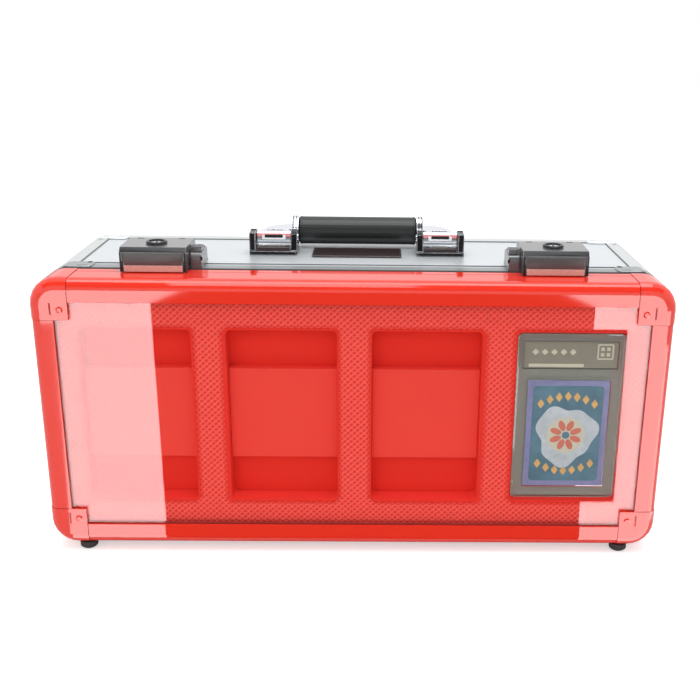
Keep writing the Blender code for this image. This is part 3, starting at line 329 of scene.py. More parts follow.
def outlines(size, radius, section, place, centre):
    """Loops of a rounded rectangle that grows by each (spread, height) of a section."""
    loops = []
    for spread, height in section:
        corner = max(radius + spread, 0.00005)
        loop = rounded_rectangle(size[0] + 2 * spread, size[1] + 2 * spread, corner, centre)
        loops.append([place(a, b, height) for a, b in loop])
    return loops


def pad(size, radius, levels, place, centre=(0, 0), bm=None):
    """Rounded plate; levels are (inset, height) pairs from its foot to its top."""
    section = [(-inset, height) for inset, height in levels]
    return skin(outlines(size, radius, section, place, centre), bm=bm)


def band(size, radius, section, place, centre=(0, 0), bm=None):
    """Closed frame round a rounded rectangle; section is a closed loop of (spread, height)."""
    return skin(outlines(size, radius, section, place, centre), closed=True, bm=bm)


def prism(outline, low, high, place, bm=None):
    """Plate with an outline of its own between two heights."""
    return skin([[place(a, b, height) for a, b in outline] for height in (low, high)], bm=bm)


def dome(radius, height, place, bm=None, foot=0.0):
    """Rounded rivet head."""
    profile = [(radius, -foot), (radius, 0.25 * height)]
    profile += [(0.92 * radius, 0.6 * height), (0.68 * radius, 0.88 * height), (0.3 * radius, height)]
    return turned(profile, place, bm)


# Materials

def fill(tree, node, given):
    """Fills a node's inputs with numbers, colours or the sockets of other nodes."""
    for name, value in given.items():
        if isinstance(value, bpy.types.NodeSocket):
            tree.links.new(value, node.inputs[name])
        else:
            node.inputs[name].default_value = value


def node_in(tree, kind, given=None, **options):
    """A new shader node with its options set and its inputs filled."""
    node = tree.nodes.new(f"ShaderNode{kind}")
    for name, value in options.items():
        setattr(node, name, value)
    fill(tree, node, given or {})
    return node


def calculate(tree, operation, *values, clamp=False):
    """Result of a math node on numbers or sockets."""
    given = dict(enumerate(values))
    return node_in(tree, "Math", given, operation=operation, use_clamp=clamp).outputs[0]


def colour_mix(tree, share, first, second, kind="MIX"):
    """Result of a colour mix on colours or sockets."""
    given = {0: share, 6: first, 7: second}
    return node_in(tree, "Mix", given, data_type="RGBA", blend_type=kind).outputs[2]


def new_group(name, inputs, outputs):
    """A shader node group with named sockets; returns it, its given sockets and its output node."""
    group = bpy.data.node_groups.new(name, "ShaderNodeTree")
    for label, kind, default in inputs:
        socket = group.interface.new_socket(name=label, in_out="INPUT", socket_type=f"NodeSocket{kind}")
        socket.default_value = default
    for label, kind in outputs:
        group.interface.new_socket(name=label, in_out="OUTPUT", socket_type=f"NodeSocket{kind}")
    return group, group.nodes.new("NodeGroupInput").outputs, group.nodes.new("NodeGroupOutput")


def fine_grain_group():
    """Noise in object space: a colour that wanders a little, a roughness mask and a height."""
    if "Fine Grain" in bpy.data.node_groups:
        return bpy.data.node_groups["Fine Grain"]
    group, given, out = new_group(
        "Fine Grain",
        (
            ("Colour", "Color", (0.8, 0.8, 0.8, 1.0)),
            ("Spread", "Float", 0.1),
            ("Scale", "Float", 400.0),
            ("Patch Scale", "Float", 18.0),
            ("Stretch", "Vector", (1.0, 1.0, 1.0)),
            ("Roughness", "Float", 0.4),
            ("Roughness Spread", "Float", 0.1),
        ),
        (("Colour", "Color"), ("Roughness", "Float"), ("Height", "Float")),
    )
    place = node_in(group, "TexCoord").outputs["Object"]
    stretched = node_in(group, "VectorMath", {0: place, 1: given["Stretch"]}, operation="MULTIPLY").outputs[0]

    def noise(scale, detail):
        given = {"Vector": stretched, "Scale": scale, "Detail": detail}
        return node_in(group, "TexNoise", given).outputs["Fac"]

    fine = noise(given["Scale"], 3.0)
    both = calculate(group, "ADD", fine, noise(given["Patch Scale"], 2.0))
    centred = calculate(group, "SUBTRACT", both, 1.0)
    spread = calculate(group, "MULTIPLY_ADD", centred, given["Spread"], 1.0)
    rough_spread = calculate(group, "MULTIPLY_ADD", centred, given["Roughness Spread"], 1.0)
    tint = node_in(group, "VectorMath", {0: given["Colour"], "Scale": spread}, operation="SCALE")
    rough = calculate(group, "MULTIPLY", given["Roughness"], rough_spread)
    fill(group, out, {"Colour": tint.outputs[0], "Roughness": rough, "Height": fine})
    return group


def edge_group():
    """A mask that is 1 along sharp edges, broken up by noise, and a softened normal."""
    if "Edge Wear And Painted Highlight" in bpy.data.node_groups:
        return bpy.data.node_groups["Edge Wear And Painted Highlight"]
    group, given, out = new_group(
        "Edge Wear And Painted Highlight",
        (("Radius", "Float", 0.0005), ("Break Up", "Float", 220.0), ("Amount", "Float", 0.5)),
        (("Mask", "Float"), ("Normal", "Vector")),
    )
    soft = node_in(group, "Bevel", {"Radius": given["Radius"]}, samples=4).outputs["Normal"]
    flat = node_in(group, "NewGeometry").outputs["True Normal"]
    dot = node_in(group, "VectorMath", {0: soft, 1: flat}, operation="DOT_PRODUCT").outputs["Value"]
    edge = node_in(group, "MapRange", {"From Min": 0.995, "From Max": 0.90, "Value": dot})
    place = node_in(group, "TexCoord").outputs["Object"]
    noise = node_in(group, "TexNoise", {"Vector": place, "Scale": given["Break Up"], "Detail": 4.0})
    broken = calculate(group, "MULTIPLY", edge.outputs["Result"], noise.outputs["Fac"])
    mask = calculate(group, "MULTIPLY", broken, given["Amount"], clamp=True)
    fill(group, out, {"Mask": mask, "Normal": soft})
    return group


def rgba(colour):
    return (*colour, 1.0)


FINISHES = {
    "red_lacquer": {
        "colour": "lacquer", "roughness": 0.30, "grain": {"spread": 0.05, "scale": 700.0}, "bump": 0.10,
        "edges": {"radius": 0.0005, "amount": 0.25},
        "sockets": {"Coat Weight": 1.0, "Coat Roughness": 0.05, "Coat IOR": 1.6, "Specular IOR Level": 0.0},
    },
    "silver_laminate": {
        "colour": "laminate", "roughness": 0.40, "metallic": 0.6, "bump": 0.05,
        "grain": {"spread": 0.05, "scale": 260.0, "patch": 9.0, "stretch": (0.15, 1.0, 1.0)},
    },
    "satin_extrusion": {
        "colour": "extrusion", "roughness": 0.28, "metallic": 0.9, "bump": 0.10,
        "grain": {"spread": 0.10, "scale": 900.0, "stretch": (1.0, 0.08, 1.0)},
    },
    "panel_bead": {"colour": "bead", "roughness": 0.45, "metallic": 0.4, "bump": 0.10},
    "grey_rim": {
        "colour": "rim", "roughness": 0.36, "metallic": 0.5, "bump": 0.08,
        "grain": {"spread": 0.12, "scale": 800.0},
    },
    "tongue_plate": {
        "colour": "tongue", "roughness": 0.30, "metallic": 0.6, "bump": 0.10,
        "edges": {"amount": 0.8, "colour": (0.70, 0.72, 0.72)},
    },
    "cap_plate": {"colour": "cap", "roughness": 0.30, "metallic": 0.7, "bump": 0.08},
    # Near-white matte plate that paints the highlight of the chrome slot frames.
    "painted_highlight_plate": {"colour": "cap", "roughness": 0.34, "metallic": 0.1, "bump": 0.08},
    "gunmetal": {
        "colour": "gunmetal", "roughness": 0.34, "metallic": 0.35, "bump": 0.22,
        "grain": {"spread": 0.10, "scale": 900.0}, "edges": {"radius": 0.0005, "amount": 0.5},
        "sockets": {"Coat Weight": 0.85, "Coat Roughness": 0.22, "Coat IOR": 1.7},
    },
    "dark_plating": {
        "colour": "shade", "roughness": 0.30, "metallic": 0.2, "bump": 0.10,
        "edges": {"radius": 0.0003, "amount": 0.4, "colour": (0.30, 0.30, 0.31)},
        "sockets": {"Specular IOR Level": 0.25},
    },
    "bracket_plating": {
        "colour": "bracket", "roughness": 0.22, "metallic": 0.1, "bump": 0.10,
        "sockets": {"Specular IOR Level": 0.2},
        "grain": {"spread": 0.3, "scale": 700.0, "rough_spread": 0.5},
        # The near-white edges on this black plating are a painted highlight.
        "edges": {"radius": 0.0008, "amount": 1.6, "colour": (0.80, 0.80, 0.83)},
    },
    "chrome_plate": {
        "colour": "chrome", "roughness": 0.06, "metallic": 1.0, "bump": 0.03,
        "grain": {"spread": 0.03, "scale": 120.0, "rough_spread": 0.4},
        "edges": {"radius": 0.0005, "amount": 0.1},
    },
    # Pale warm matte colour painted as the reflection in the plated catch.
    "catch_painted_reflection": {
        "colour": "catch", "roughness": 0.42, "metallic": 0.15, "bump": 0.30,
        "grain": {"spread": 0.35, "scale": 650.0, "stretch": (1.0, 0.4, 0.4)},
    },
    "grip_sleeve": {
        "colour": "grip", "roughness": 0.40, "bump": 0.35,
        "grain": {"spread": 0.25, "scale": 1200.0, "stretch": (0.3, 1.0, 1.0)},
    },
    "black_rubber": {
        "colour": "rubber", "roughness": 0.62, "bump": 0.30, "grain": {"spread": 0.2, "scale": 1100.0},
    },
    "window_seal": {
        "colour": "seal", "roughness": 0.50, "bump": 0.20, "grain": {"spread": 0.2, "scale": 900.0},
    },
    "storage_foam": {
        "colour": "storage", "roughness": 0.95, "bump": 0.80, "bump_size": 0.0002,
        "grain": {"spread": 0.5, "scale": 1600.0}, "edges": {"amount": 0.0},
    },
    "tray_foam": {
        "colour": "foam", "roughness": 0.70, "bump": 0.25, "bump_size": 0.00005,
        "grain": {"spread": 0.05, "scale": 1500.0, "patch": 12.0},
        "edges": {"radius": 0.0008, "amount": 0.5, "colour": (0.90, 0.075, 0.050)},
        "sockets": {"Specular IOR Level": 0.0},
    },
    # Lighter foam on the platforms is painted light, set against the shade in the recesses.
    "platform_foam_painted_light": {
        "colour": "platform", "roughness": 0.70, "bump": 0.20, "bump_size": 0.00005,
        "grain": {"spread": 0.04, "scale": 1500.0, "patch": 12.0},
        "edges": {"radius": 0.0008, "amount": 0.5, "colour": (0.92, 0.10, 0.075)},
        "sockets": {"Specular IOR Level": 0.0},
    },
    "front_plating": {
        "colour": "front", "roughness": 0.40, "metallic": 0.2, "bump": 0.20,
        "grain": {"spread": 0.12, "scale": 900.0},
        "edges": {"amount": 0.6, "colour": (0.32, 0.32, 0.33)},
    },
    # The red cast of this dark finish is a painted reflection.
    "name_plate": {
        "colour": "plate", "roughness": 0.30, "metallic": 0.3, "bump": 0.25,
        "grain": {"spread": 0.35, "scale": 420.0, "stretch": (0.4, 1.0, 1.0)},
        "edges": {"radius": 0.0005, "amount": 0.8, "colour": (0.42, 0.40, 0.40)},
    },
    "slab_backing": {
        "colour": "backing", "roughness": 0.55, "bump": 0.15, "grain": {"spread": 0.10, "scale": 300.0},
    },
    "label_stock": {
        "colour": "label", "roughness": 0.50, "bump": 0.10, "grain": {"spread": 0.12, "scale": 420.0},
    },
    "cream_ink": {"colour": "cream", "roughness": 0.45, "bump": 0.05},
    "card_stock": {
        "colour": "card", "roughness": 0.35, "bump": 0.06,
        "grain": {"spread": 0.30, "scale": 240.0, "patch": 60.0},
    },
    "teal_ink": {
        "colour": "teal", "roughness": 0.35, "bump": 0.04,
        "grain": {"spread": 0.55, "scale": 160.0, "patch": 45.0},
    },
    "mist_ink": {
        "colour": "mist", "roughness": 0.35, "bump": 0.04,
        "grain": {"spread": 0.45, "scale": 260.0, "patch": 70.0},
    },
    "gold_ink": {
        "colour": "gold", "roughness": 0.35, "bump": 0.04, "grain": {"spread": 0.35, "scale": 300.0},
    },
    "coral_ink": {
        "colour": "coral", "roughness": 0.35, "bump": 0.04, "grain": {"spread": 0.30, "scale": 300.0},
    },
}
GRAIN = {"spread": 0.06, "scale": 500.0, "patch": 16.0, "stretch": (1.0, 1.0, 1.0), "rough_spread": 0.15}
EDGE = {"radius": 0.0004, "amount": 0.3}
BUMP_SIZE = 0.00002


def new_material(name):
    material = bpy.data.materials.new(name)
    material.use_nodes = True
    return material, material.node_tree, material.node_tree.nodes["Principled BSDF"]


def show(tree, node):
    """Makes a shader node the material's surface."""
    fill(tree, tree.nodes["Material Output"], {"Surface": node.outputs[0]})


def finish(name):
    """A Principled surface with fine grain, softened edges and a lighter colour along them: wear, and on the
    black bracket plating a painted highlight.
    """
    if name in bpy.data.materials:
        return bpy.data.materials[name]
    recipe = FINISHES[name]
    colour = getattr(colours(), recipe["colour"])
    material, tree, shader = new_material(name)
    grain = {**GRAIN, **recipe.get("grain", {})}
    lighter = tuple(min(1.0, 1.35 * part + 0.02) for part in colour)
    edge = {**EDGE, "colour": lighter, **recipe.get("edges", {})}
    given = {
        "Colour": rgba(colour), "Spread": grain["spread"], "Scale": grain["scale"],
        "Patch Scale": grain["patch"], "Stretch": grain["stretch"],
        "Roughness": recipe["roughness"], "Roughness Spread": grain["rough_spread"],
    }
    fine = node_in(tree, "Group", given, node_tree=fine_grain_group()).outputs
    given = {"Radius": edge["radius"], "Amount": edge["amount"]}
    edge_wear_and_highlight = node_in(tree, "Group", given, node_tree=edge_group()).outputs
    relief = node_in(tree, "Bump", {
        "Strength": recipe["bump"], "Distance": recipe.get("bump_size", BUMP_SIZE),
        "Height": fine["Height"], "Normal": edge_wear_and_highlight["Normal"],
    })
    fill(tree, shader, {
        "Metallic": recipe.get("metallic", 0.0),
        **recipe.get("sockets", {}),
        # Lighter colour along sharp edges: wear, and on the bracket plating a painted highlight.
        "Base Color": colour_mix(tree, edge_wear_and_highlight["Mask"], fine["Colour"], rgba(edge["colour"])),
        "Roughness": fine["Roughness"],
        "Normal": relief.outputs["Normal"],
    })
    return material


def surface(look):
    """The material of a finish's name, or the material itself."""
    return finish(look) if isinstance(look, str) else look


def embossed_foam(floor, ridge):
    """Tray foam whose colour goes from painted shade in the pits to a painted highlight on the ridges, by its
    height on the tray.
    """
    material = finish("tray_foam").copy()
    material.name = "tray_grain_foam"
    tree = material.node_tree
    white = rgba((1.0, 1.0, 1.0))
    edge_wear_and_highlight = next(node for node in tree.nodes if node.type == "MIX")
    fill(tree, edge_wear_and_highlight, {7: white})
    fine = next(node for node in tree.nodes if node.type == "GROUP" and node.node_tree.name == "Fine Grain")
    fill(tree, fine, {"Colour": white})
    parts = node_in(tree, "SeparateXYZ", {0: node_in(tree, "TexCoord").outputs["Object"]})
    rise = node_in(tree, "MapRange", {"From Min": floor, "From Max": ridge, "Value": parts.outputs["Y"]})
    # Painted shade at the pits' height and a painted highlight at the ridges' height.
    painted_relief_shading = colour_mix(tree, rise.outputs["Result"], rgba(colours().pit), rgba(colours().crest))
    shade = colour_mix(tree, 1.0, painted_relief_shading, edge_wear_and_highlight.outputs[2], "MULTIPLY")
    fill(tree, tree.nodes["Principled BSDF"], {"Base Color": shade})
    return material


def clear_acrylic(name, roughness):
    """Glass for the eye, open to the light that shines on what lies behind it."""
    material, tree, shader = new_material(name)
    tint = rgba(colours().acrylic)
    fill(tree, shader, {"Base Color": tint, "Roughness": roughness, "IOR": 1.49, "Transmission Weight": 1.0})
    path = node_in(tree, "LightPath").outputs
    either = calculate(tree, "MAXIMUM", path["Is Shadow Ray"], path["Is Diffuse Ray"])
    open_air = node_in(tree, "BsdfTransparent").outputs[0]
    show(tree, node_in(tree, "MixShader", {0: either, 1: shader.outputs[0], 2: open_air}))
    return material


def dress(look, *names):
    """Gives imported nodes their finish."""
    for name in names:
        materials = NODES[name].data.materials
        materials.clear()
        materials.append(surface(look))


class CARDCASE_OT_lid(bpy.types.Operator):
    """Lacquers the lid's rails and corner castings and glazes the window"""

    bl_idname = "cardcase.lid"
    bl_label = "Lid and window"

    def execute(self, context):
        rails = (f"lid_rail_{side}" for side in SIDES)
        castings = (f"lid_corner_{place}" for _, _, place in CORNERS)
        dress("red_lacquer", *rails, *castings)
        dress(clear_acrylic("window_acrylic", 0.0), "window")
        dress("window_seal", "window_seal")
        self.rivets()
        return {"FINISHED"}

    def rivets(self):
        """A dimpled shank end in each casting's rivet and a narrow slit beside it."""
        shank = ((0.0011, -0.0006), (0.0011, 0.0), (0.0008, 0.0002), (0.0004, 0.0001))
        slit = ((0, -0.0004), (0.0001, 0.00015))
        for side, rise, place in CORNERS:
            low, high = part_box(f"lid_corner_{place}")
            x = (high.x if side > 0 else low.x) - side * RIVET_INSET
            z = (high.z if rise > 0 else low.z) - rise * RIVET_INSET
            bm = turned(shank, around((x, z), facing_front(low.y + 0.0002)))
            link_mesh(f"rivet_shank_{place}", bm, "window_seal", "lid")
            spot = (x + side * SLIT_OFFSET, z + 0.0004)
            bm = pad((0.0014, 0.0096), 0.0006, slit, facing_front(low.y + 0.0006), spot)
            link_mesh(f"casting_slit_{place}", bm, "window_seal", "lid")


class CARDCASE_OT_body(bpy.types.Operator):
    """Finishes the panels, edge extrusions, rims and storage foam, with their beads and rivets"""

    bl_idname = "cardcase.body"
    bl_label = "Case body"

    def execute(self, context):
        dress("silver_laminate", *(f"{side}_panel" for side in SIDES), "back_panel")
        dress("satin_extrusion", "rear_rim", *(f"edge_{place}" for _, _, place in CORNERS))
        dress("grey_rim", *(f"front_rim_{side}" for side in SIDES))
        dress("grey_rim", *(f"front_rim_corner_{place}" for _, _, place in CORNERS))
        dress("storage_foam", "storage_foam")
        dress("name_plate", "name_plate")
        for _, hand in HANDS:
            dress("black_rubber", *(f"foot_{row}_{hand}" for row, _ in FOOT_ROWS))
            dress("satin_extrusion", *(f"hinge_{leaf}_leaf_{hand}" for leaf, _ in HINGE_LEAVES))
        self.gasket()
        self.beads()
        self.tongues()
        self.caps()
        self.plate_edge()
        self.foot_screws()
        self.hinge_screws()
        return {"FINISHED"}

    def outline(self):
        """Width and height of the case, and its middle."""
        left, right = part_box("front_rim_corner_bottom_left"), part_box("front_rim_corner_top_right")
        return right[1] - left[0], (0.0, (left[0].z + right[1].z) / 2)

    def corners(self):
        """Each corner's name and a placing that goes outwards, back, and off the top or underside."""
        size, centre = self.outline()
        for side, rise, place in CORNERS:
            level = centre[1] + rise * size.z / 2
            spot = lambda a, b, out, side=side, rise=rise, level=level: (side * a, b, level + rise * out)
            yield place, spot

    def gasket(self):
        """Black gasket that hugs the rim beside the seam."""
        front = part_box("front_rim_top")[0].y
        rear = front + GASKET_REACH
        size, centre = self.outline()
        section = (
            (-0.0012, front - 0.0001), (0.00022, front - 0.0001), (0.00030, front + 0.0003),
            (0.00030, rear), (-0.0012, rear),
        )
        bm = band((size.x, size.z), CORNER_RADIUS, section, lambda a, b, out: (a, out, b), centre)
        link_mesh("seam_gasket", bm, "black_rubber", "case")

    def beads(self):
        """Dark beads where the top and side panels meet the edge extrusions and the rims."""
        low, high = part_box("edge_top_left")
        front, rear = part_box("front_rim_top")[1].y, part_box("rear_rim")[0].y
        middle = (front + rear) / 2
        size = (-2 * high.x, rear - front)
        bm = band(size, BEAD_RADIUS, BEAD_SECTION, facing_up(high.z), (0.0, middle))
        link_mesh("top_bead", bm, "panel_bead", "case")
        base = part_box("edge_bottom_left")[1].z
        tall = low.z - base
        for side, hand in HANDS:
            outward = lambda a, b, out, side=side: (side * (abs(low.x) + out), a, b)
            bm = band((rear - front, tall), BEAD_RADIUS, BEAD_SECTION, outward, (middle, base + tall / 2))
            link_mesh(f"side_bead_{hand}", bm, "panel_bead", "case")

    def tongues(self):
        """Rounded tongue on each rim corner, with its slit, a black strip along its front foot as painted
        shadow under it, and a dark rivet.
        """
        low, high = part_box("front_rim_top")
        front, rear = low.y + GASKET_REACH, high.y
        half = self.outline()[0].x / 2
        near, far = half - TONGUE_START, half - TONGUE_END
        centre = ((near + far) / 2, (front + rear) / 2 - 0.0004)
        plan = (near - far, rear - front - 0.0022)
        slit, foot = (far + 0.0075, front + 0.0040), (centre[0], front + 0.0004)
        for place, spot in self.corners():
            bm = pad(plan, 0.0040, ((0, -0.0004), (0, 0.0006), (0.0004, 0.0010)), spot, centre)
            link_mesh(f"rim_tongue_{place}", bm, "tongue_plate", "case")
            bm = pad((0.0085, 0.0009), 0.0004, ((0, 0.0006), (0.0001, 0.00112)), spot, slit)
            # Black strip along the tongue's front foot: painted shadow under the tongue.
            pad((plan[0] + 0.0006, 0.0012), 0.0004, ((0, -0.0003), (0.0002, 0.0005)), spot, foot, bm)
            link_mesh(f"tongue_slit_and_painted_shadow_{place}", bm, "black_rubber", "case")
            bm = dome(0.0027, 0.0014, around((far + 0.0042, rear - 0.0036), spot), foot=0.0004)
            link_mesh(f"tongue_rivet_{place}", bm, "dark_plating", "case")

    def caps(self):
        """Bright cap with two rivets on each rear corner of the top and the underside."""
        x = self.outline()[0].x / 2 - CAP_INSET[0]
        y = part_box("rear_rim")[1].y - CAP_INSET[1]
        for place, spot in self.corners():
            bm = pad(CAP_SIZE, 0.0035, ((0, -0.0003), (0, 0.0004), (0.0004, 0.0007)), spot, (x, y))
            link_mesh(f"rear_cap_{place}", bm, "cap_plate", "case")
            bm = bmesh.new()
            for step in (CAP_RIVET, -CAP_RIVET):
                dome(0.0022, 0.0011, around((x + step, y), spot), bm, foot=-0.0003)
            link_mesh(f"cap_rivets_{place}", bm, "satin_extrusion", "case")

    def plate_edge(self):
        """Raised border of the name plate; its middle is bare."""
        low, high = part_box("name_plate")
        size = (high.x - low.x - 0.0004, high.y - low.y - 0.0004)
        section = ((-0.0012, -0.0002), (-0.0010, 0.0002), (-0.0003, 0.0002), (0, -0.0002))
        bm = band(size, 0.0012, section, facing_up(high.z), middle_of((low, high), "xy"))
        link_mesh("name_plate_border", bm, "name_plate", "case")

    def foot_screws(self):
        """Screw in each foot, sunk in its underside."""
        profile = ((0.0021, -0.0005), (0.0021, 0.0003), (0.0014, 0.0005), (0.0005, 0.0003))
        for row, body in FOOT_ROWS:
            bm = bmesh.new()
            for _, hand in HANDS:
                low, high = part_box(f"foot_{row}_{hand}")
                under = lambda a, b, out, floor=low.z: (a, b, floor + 0.0006 - out)
                turned(profile, around(middle_of((low, high), "xy"), under), bm)
            link_mesh(f"foot_screws_{row}", bm, "satin_extrusion", body)

    def hinge_screws(self):
        """Three screws in each hinge leaf."""
        under = lambda a, b, out: (a, b, LEAF_FACE - out)
        for leaf, body in HINGE_LEAVES:
            bm = bmesh.new()
            for _, hand in HANDS:
                low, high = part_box(f"hinge_{leaf}_leaf_{hand}")
                inner = high.y - HINGE_SCREW_INSET if leaf == "body" else low.y + HINGE_SCREW_INSET
                for step in (-1, 0, 1):
                    centre = ((low.x + high.x) / 2 + step * HINGE_SCREW_PITCH, inner)
                    dome(0.0019, 0.0008, around(centre, under), bm, foot=0.0003)
            link_mesh(f"hinge_screws_{leaf}", bm, "dark_plating", body)


class CARDCASE_OT_tray(bpy.types.Operator):
    """Finishes the display tray, adds its platforms and embosses its face"""

    bl_idname = "cardcase.tray"
    bl_label = "Display tray"

    def execute(self, context):
        dress("tray_foam", "tray_face", "tray_core")
        self.platforms()
        self.grain()
        self.borders()
        return {"FINISHED"}

    def pockets(self):
        """Middles of the pockets, from the slab's place and the pitch."""
        x, z = middle_of(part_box("slab_shell"))
        return [(x - POCKET_PITCH * number, z) for number in range(POCKET_COUNT)]

    def platforms(self):
        """Platform from wall to wall in each pocket, in front of its recess floor, in lighter foam that is
        painted light against the recesses' shade.
        """
        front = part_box("tray_face")[0].y
        size = (POCKET_SIZE[0] - 0.0002, PLATFORM_HEIGHT + 0.0002)
        top = 0.0001 - PLATFORM_DROP
        levels = ((0, -RECESS_DROP - 0.0002), (0, top - 0.0004), (0.0004, top))
        bm = bmesh.new()
        for centre in self.pockets():
            pad(size, 0.0006, levels, facing_front(front), centre, bm)
        link_mesh("pocket_platforms", bm, "platform_foam_painted_light", "case")

    def grain(self):
        """One sheet of staggered pits between ridges, cut out round the pockets."""
        sizes = bpy.context.scene.case_grain
        low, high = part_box("tray_face")
        half_x, half_z = sizes.pitch_x / 2, sizes.pitch_z / 2
        margin, gap = sizes.margin, sizes.border * POCKET_GAP
        columns = int((high.x - low.x) / 2 / half_x)
        rows = int((high.z - low.z) / 2 / half_z)
        middle = middle_of((low, high))
        foot, floor = low.y, low.y - sizes.floor
        crest = floor - sizes.depth
        pockets = self.pockets()
        bm = bmesh.new()
        crests = {}

        def point(i, j):
            return middle[0] + i * half_x, middle[1] + j * half_z

        def crest_at(i, j):
            if (i, j) not in crests:
                x, z = point(i, j)
                crests[i, j] = bm.verts.new((x, crest, z))
            return crests[i, j]

        def free(i, j):
            x, z = point(i, j)
            if not (low.x + margin < x < high.x - margin and low.z + margin < z < high.z - margin):
                return False
            corner = abs(x - middle[0]) + abs(z - middle[1])
            if corner > (high.x - low.x + high.z - low.z) / 2 - CORNER_CUT * margin:
                return False
            for px, pz in pockets:
                if abs(x - px) < POCKET_SIZE[0] / 2 + gap and abs(z - pz) < POCKET_SIZE[1] / 2 + gap:
                    return False
            return True

        for i in range(-columns, columns + 1):
            for j in range(-rows, rows + 1):
                if (i + j) % 2:
                    continue
                around_pit = ((i + 1, j), (i, j + 1), (i - 1, j), (i, j - 1))
                if not all(free(*corner) for corner in around_pit):
                    continue
                ring = [crest_at(*corner) for corner in around_pit]
                x, z = point(i, j)
                centre = Vector((x, 0, z))
                pit = []
                for corner in ring:
                    reach = corner.co - centre
                    along = (reach.x + reach.z) / 2 * PIT_SHARE[0]
                    across = (reach.x - reach.z) / 2 * PIT_SHARE[1]
                    pit.append(bm.verts.new((centre.x + along + across, floor, centre.z + along - across)))
                for step in range(4):
                    after = (step + 1) % 4
                    bm.faces.new((ring[step], ring[after], pit[after], pit[step]))
                bm.faces.new(pit)
        under = bmesh.ops.extrude_face_region(bm, geom=list(bm.faces), use_keep_orig=True)
        for item in under["geom"]:
            if isinstance(item, bmesh.types.BMVert):
                item.co.y = foot + SINK
        grained = embossed_foam(floor, crest)
        dress(grained, "tray_face")
        link_mesh("tray_grain", bm, grained, "case").data.shade_smooth()

    def borders(self):
        """Plain pressed edge round each pocket."""
        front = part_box("tray_face")[0].y
        sizes = bpy.context.scene.case_grain
        top = sizes.floor + sizes.depth
        section = (
            (0.0001, -SINK), (0.0001, top * 0.7), (0.0005, top),
            (sizes.border - 0.0004, top), (sizes.border, top * 0.5), (sizes.border, -SINK),
        )
        bm = bmesh.new()
        for centre in self.pockets():
            band(POCKET_SIZE, POCKET_RADIUS, section, facing_front(front), centre, bm)
        link_mesh("pocket_borders", bm, "tray_foam", "case")


class CARDCASE_OT_slab(bpy.types.Operator):
    """Finishes the displayed slab, its label and its card with a plain pattern"""

    bl_idname = "cardcase.slab"
    bl_label = "Card slab"

    def execute(self, context):
        dress(clear_acrylic("slab_acrylic", 0.02), "slab_shell")
        dress("label_stock", "slab_label")
        dress("card_stock", "slab_card")
        self.backing()
        self.label()
        self.card()
        return {"FINISHED"}

    def backing(self):
        """Grey insert behind the label and the card."""
        low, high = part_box("slab_shell")
        size = (high.x - low.x - 0.0006, high.z - low.z - 0.0006)
        place = facing_front(high.y + 0.00024)
        bm = pad(size, 0.0028, ((0, 0.00002), (0, 0.00022)), place, middle_of((low, high)))
        link_mesh("slab_backing", bm, "slab_backing", "case")

    def label(self):
        """A plain bar, five lozenges and a framed square on the label."""
        low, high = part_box("slab_label")
        place = facing_front(low.y)
        x, z = middle_of((low, high))
        ink = ((0, INK_FOOT), (0, INK_STEP))
        bm = pad((0.0425, 0.0026), 0.0004, ink, place, (x - 0.0110, low.z + 0.0022))
        for step in range(5):
            lozenge = [(x - 0.0275 + 0.0072 * step + a, z + 0.0025 + b) for a, b in LOZENGE]
            prism(lozenge, INK_FOOT, INK_STEP, place, bm)
        link_mesh("label_marks", bm, "cream_ink", "case")
        square = around((x + 0.0262, z + 0.0028), place)
        section = ((-0.0011, INK_FOOT), (-0.0011, INK_STEP), (0, INK_STEP), (0, INK_FOOT))
        bm = band((0.0125, 0.0125), 0.0012, section, square)
        for dot in circle((0, 0), 0.0032, 8)[1::2]:
            pad((0.0026, 0.0026), 0.0004, ink, square, dot, bm)
        link_mesh("label_square", bm, "cream_ink", "case")

    def card(self):
        """Teal field, pale cloud and a rosette between two rows of ornament, in layers of ink."""
        low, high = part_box("slab_card")
        place = around(middle_of((low, high)), facing_front(low.y))
        field = rounded_rectangle(high.x - low.x - 0.0085, high.z - low.z - 0.0085, 0.0030)
        cloud = []
        for step in range(72):
            turn = 2 * math.pi * step / 72
            reach = 0.0218 + 0.0026 * math.sin(3 * turn + 0.6) + 0.0011 * math.sin(7 * turn)
            cloud.append((1.06 * reach * math.cos(turn), 1.12 * reach * math.sin(turn) + ROSETTE_RISE))
        petals = []
        for step in range(8):
            turn = math.pi / 4 * step + math.pi / 8
            across, rise = math.cos(turn), math.sin(turn)
            oval = [(a, 0.55 * b) for a, b in circle((0.0084, 0), 0.0046, 20)]
            petals.append([(a * across - b * rise, a * rise + b * across + ROSETTE_RISE) for a, b in oval])
        ornament = []
        for end in ENDS:
            for step in range(-3, 4):
                lift = end * (0.0315 - 0.0007 * step * step)
                ornament.append([(0.0070 * step + 1.05 * a, lift + 1.5 * b) for a, b in LOZENGE])
        layers = (
            ("card_field", "teal_ink", 1, [field]),
            ("card_cloud", "mist_ink", 2, [cloud]),
            ("card_disc", "cream_ink", 3, [circle((0, ROSETTE_RISE), 0.0150, 48)]),
            ("card_petals", "coral_ink", 4, petals),
            ("card_heart", "teal_ink", 5, [circle((0, ROSETTE_RISE), 0.0030, 24)]),
            ("card_ornament", "gold_ink", 4, ornament),
        )
        for name, look, layer, shapes in layers:
            bm = bmesh.new()
            for shape in shapes:
                prism(shape, INK_FOOT, layer * INK_STEP, place, bm)
            link_mesh(name, bm, look, "case")


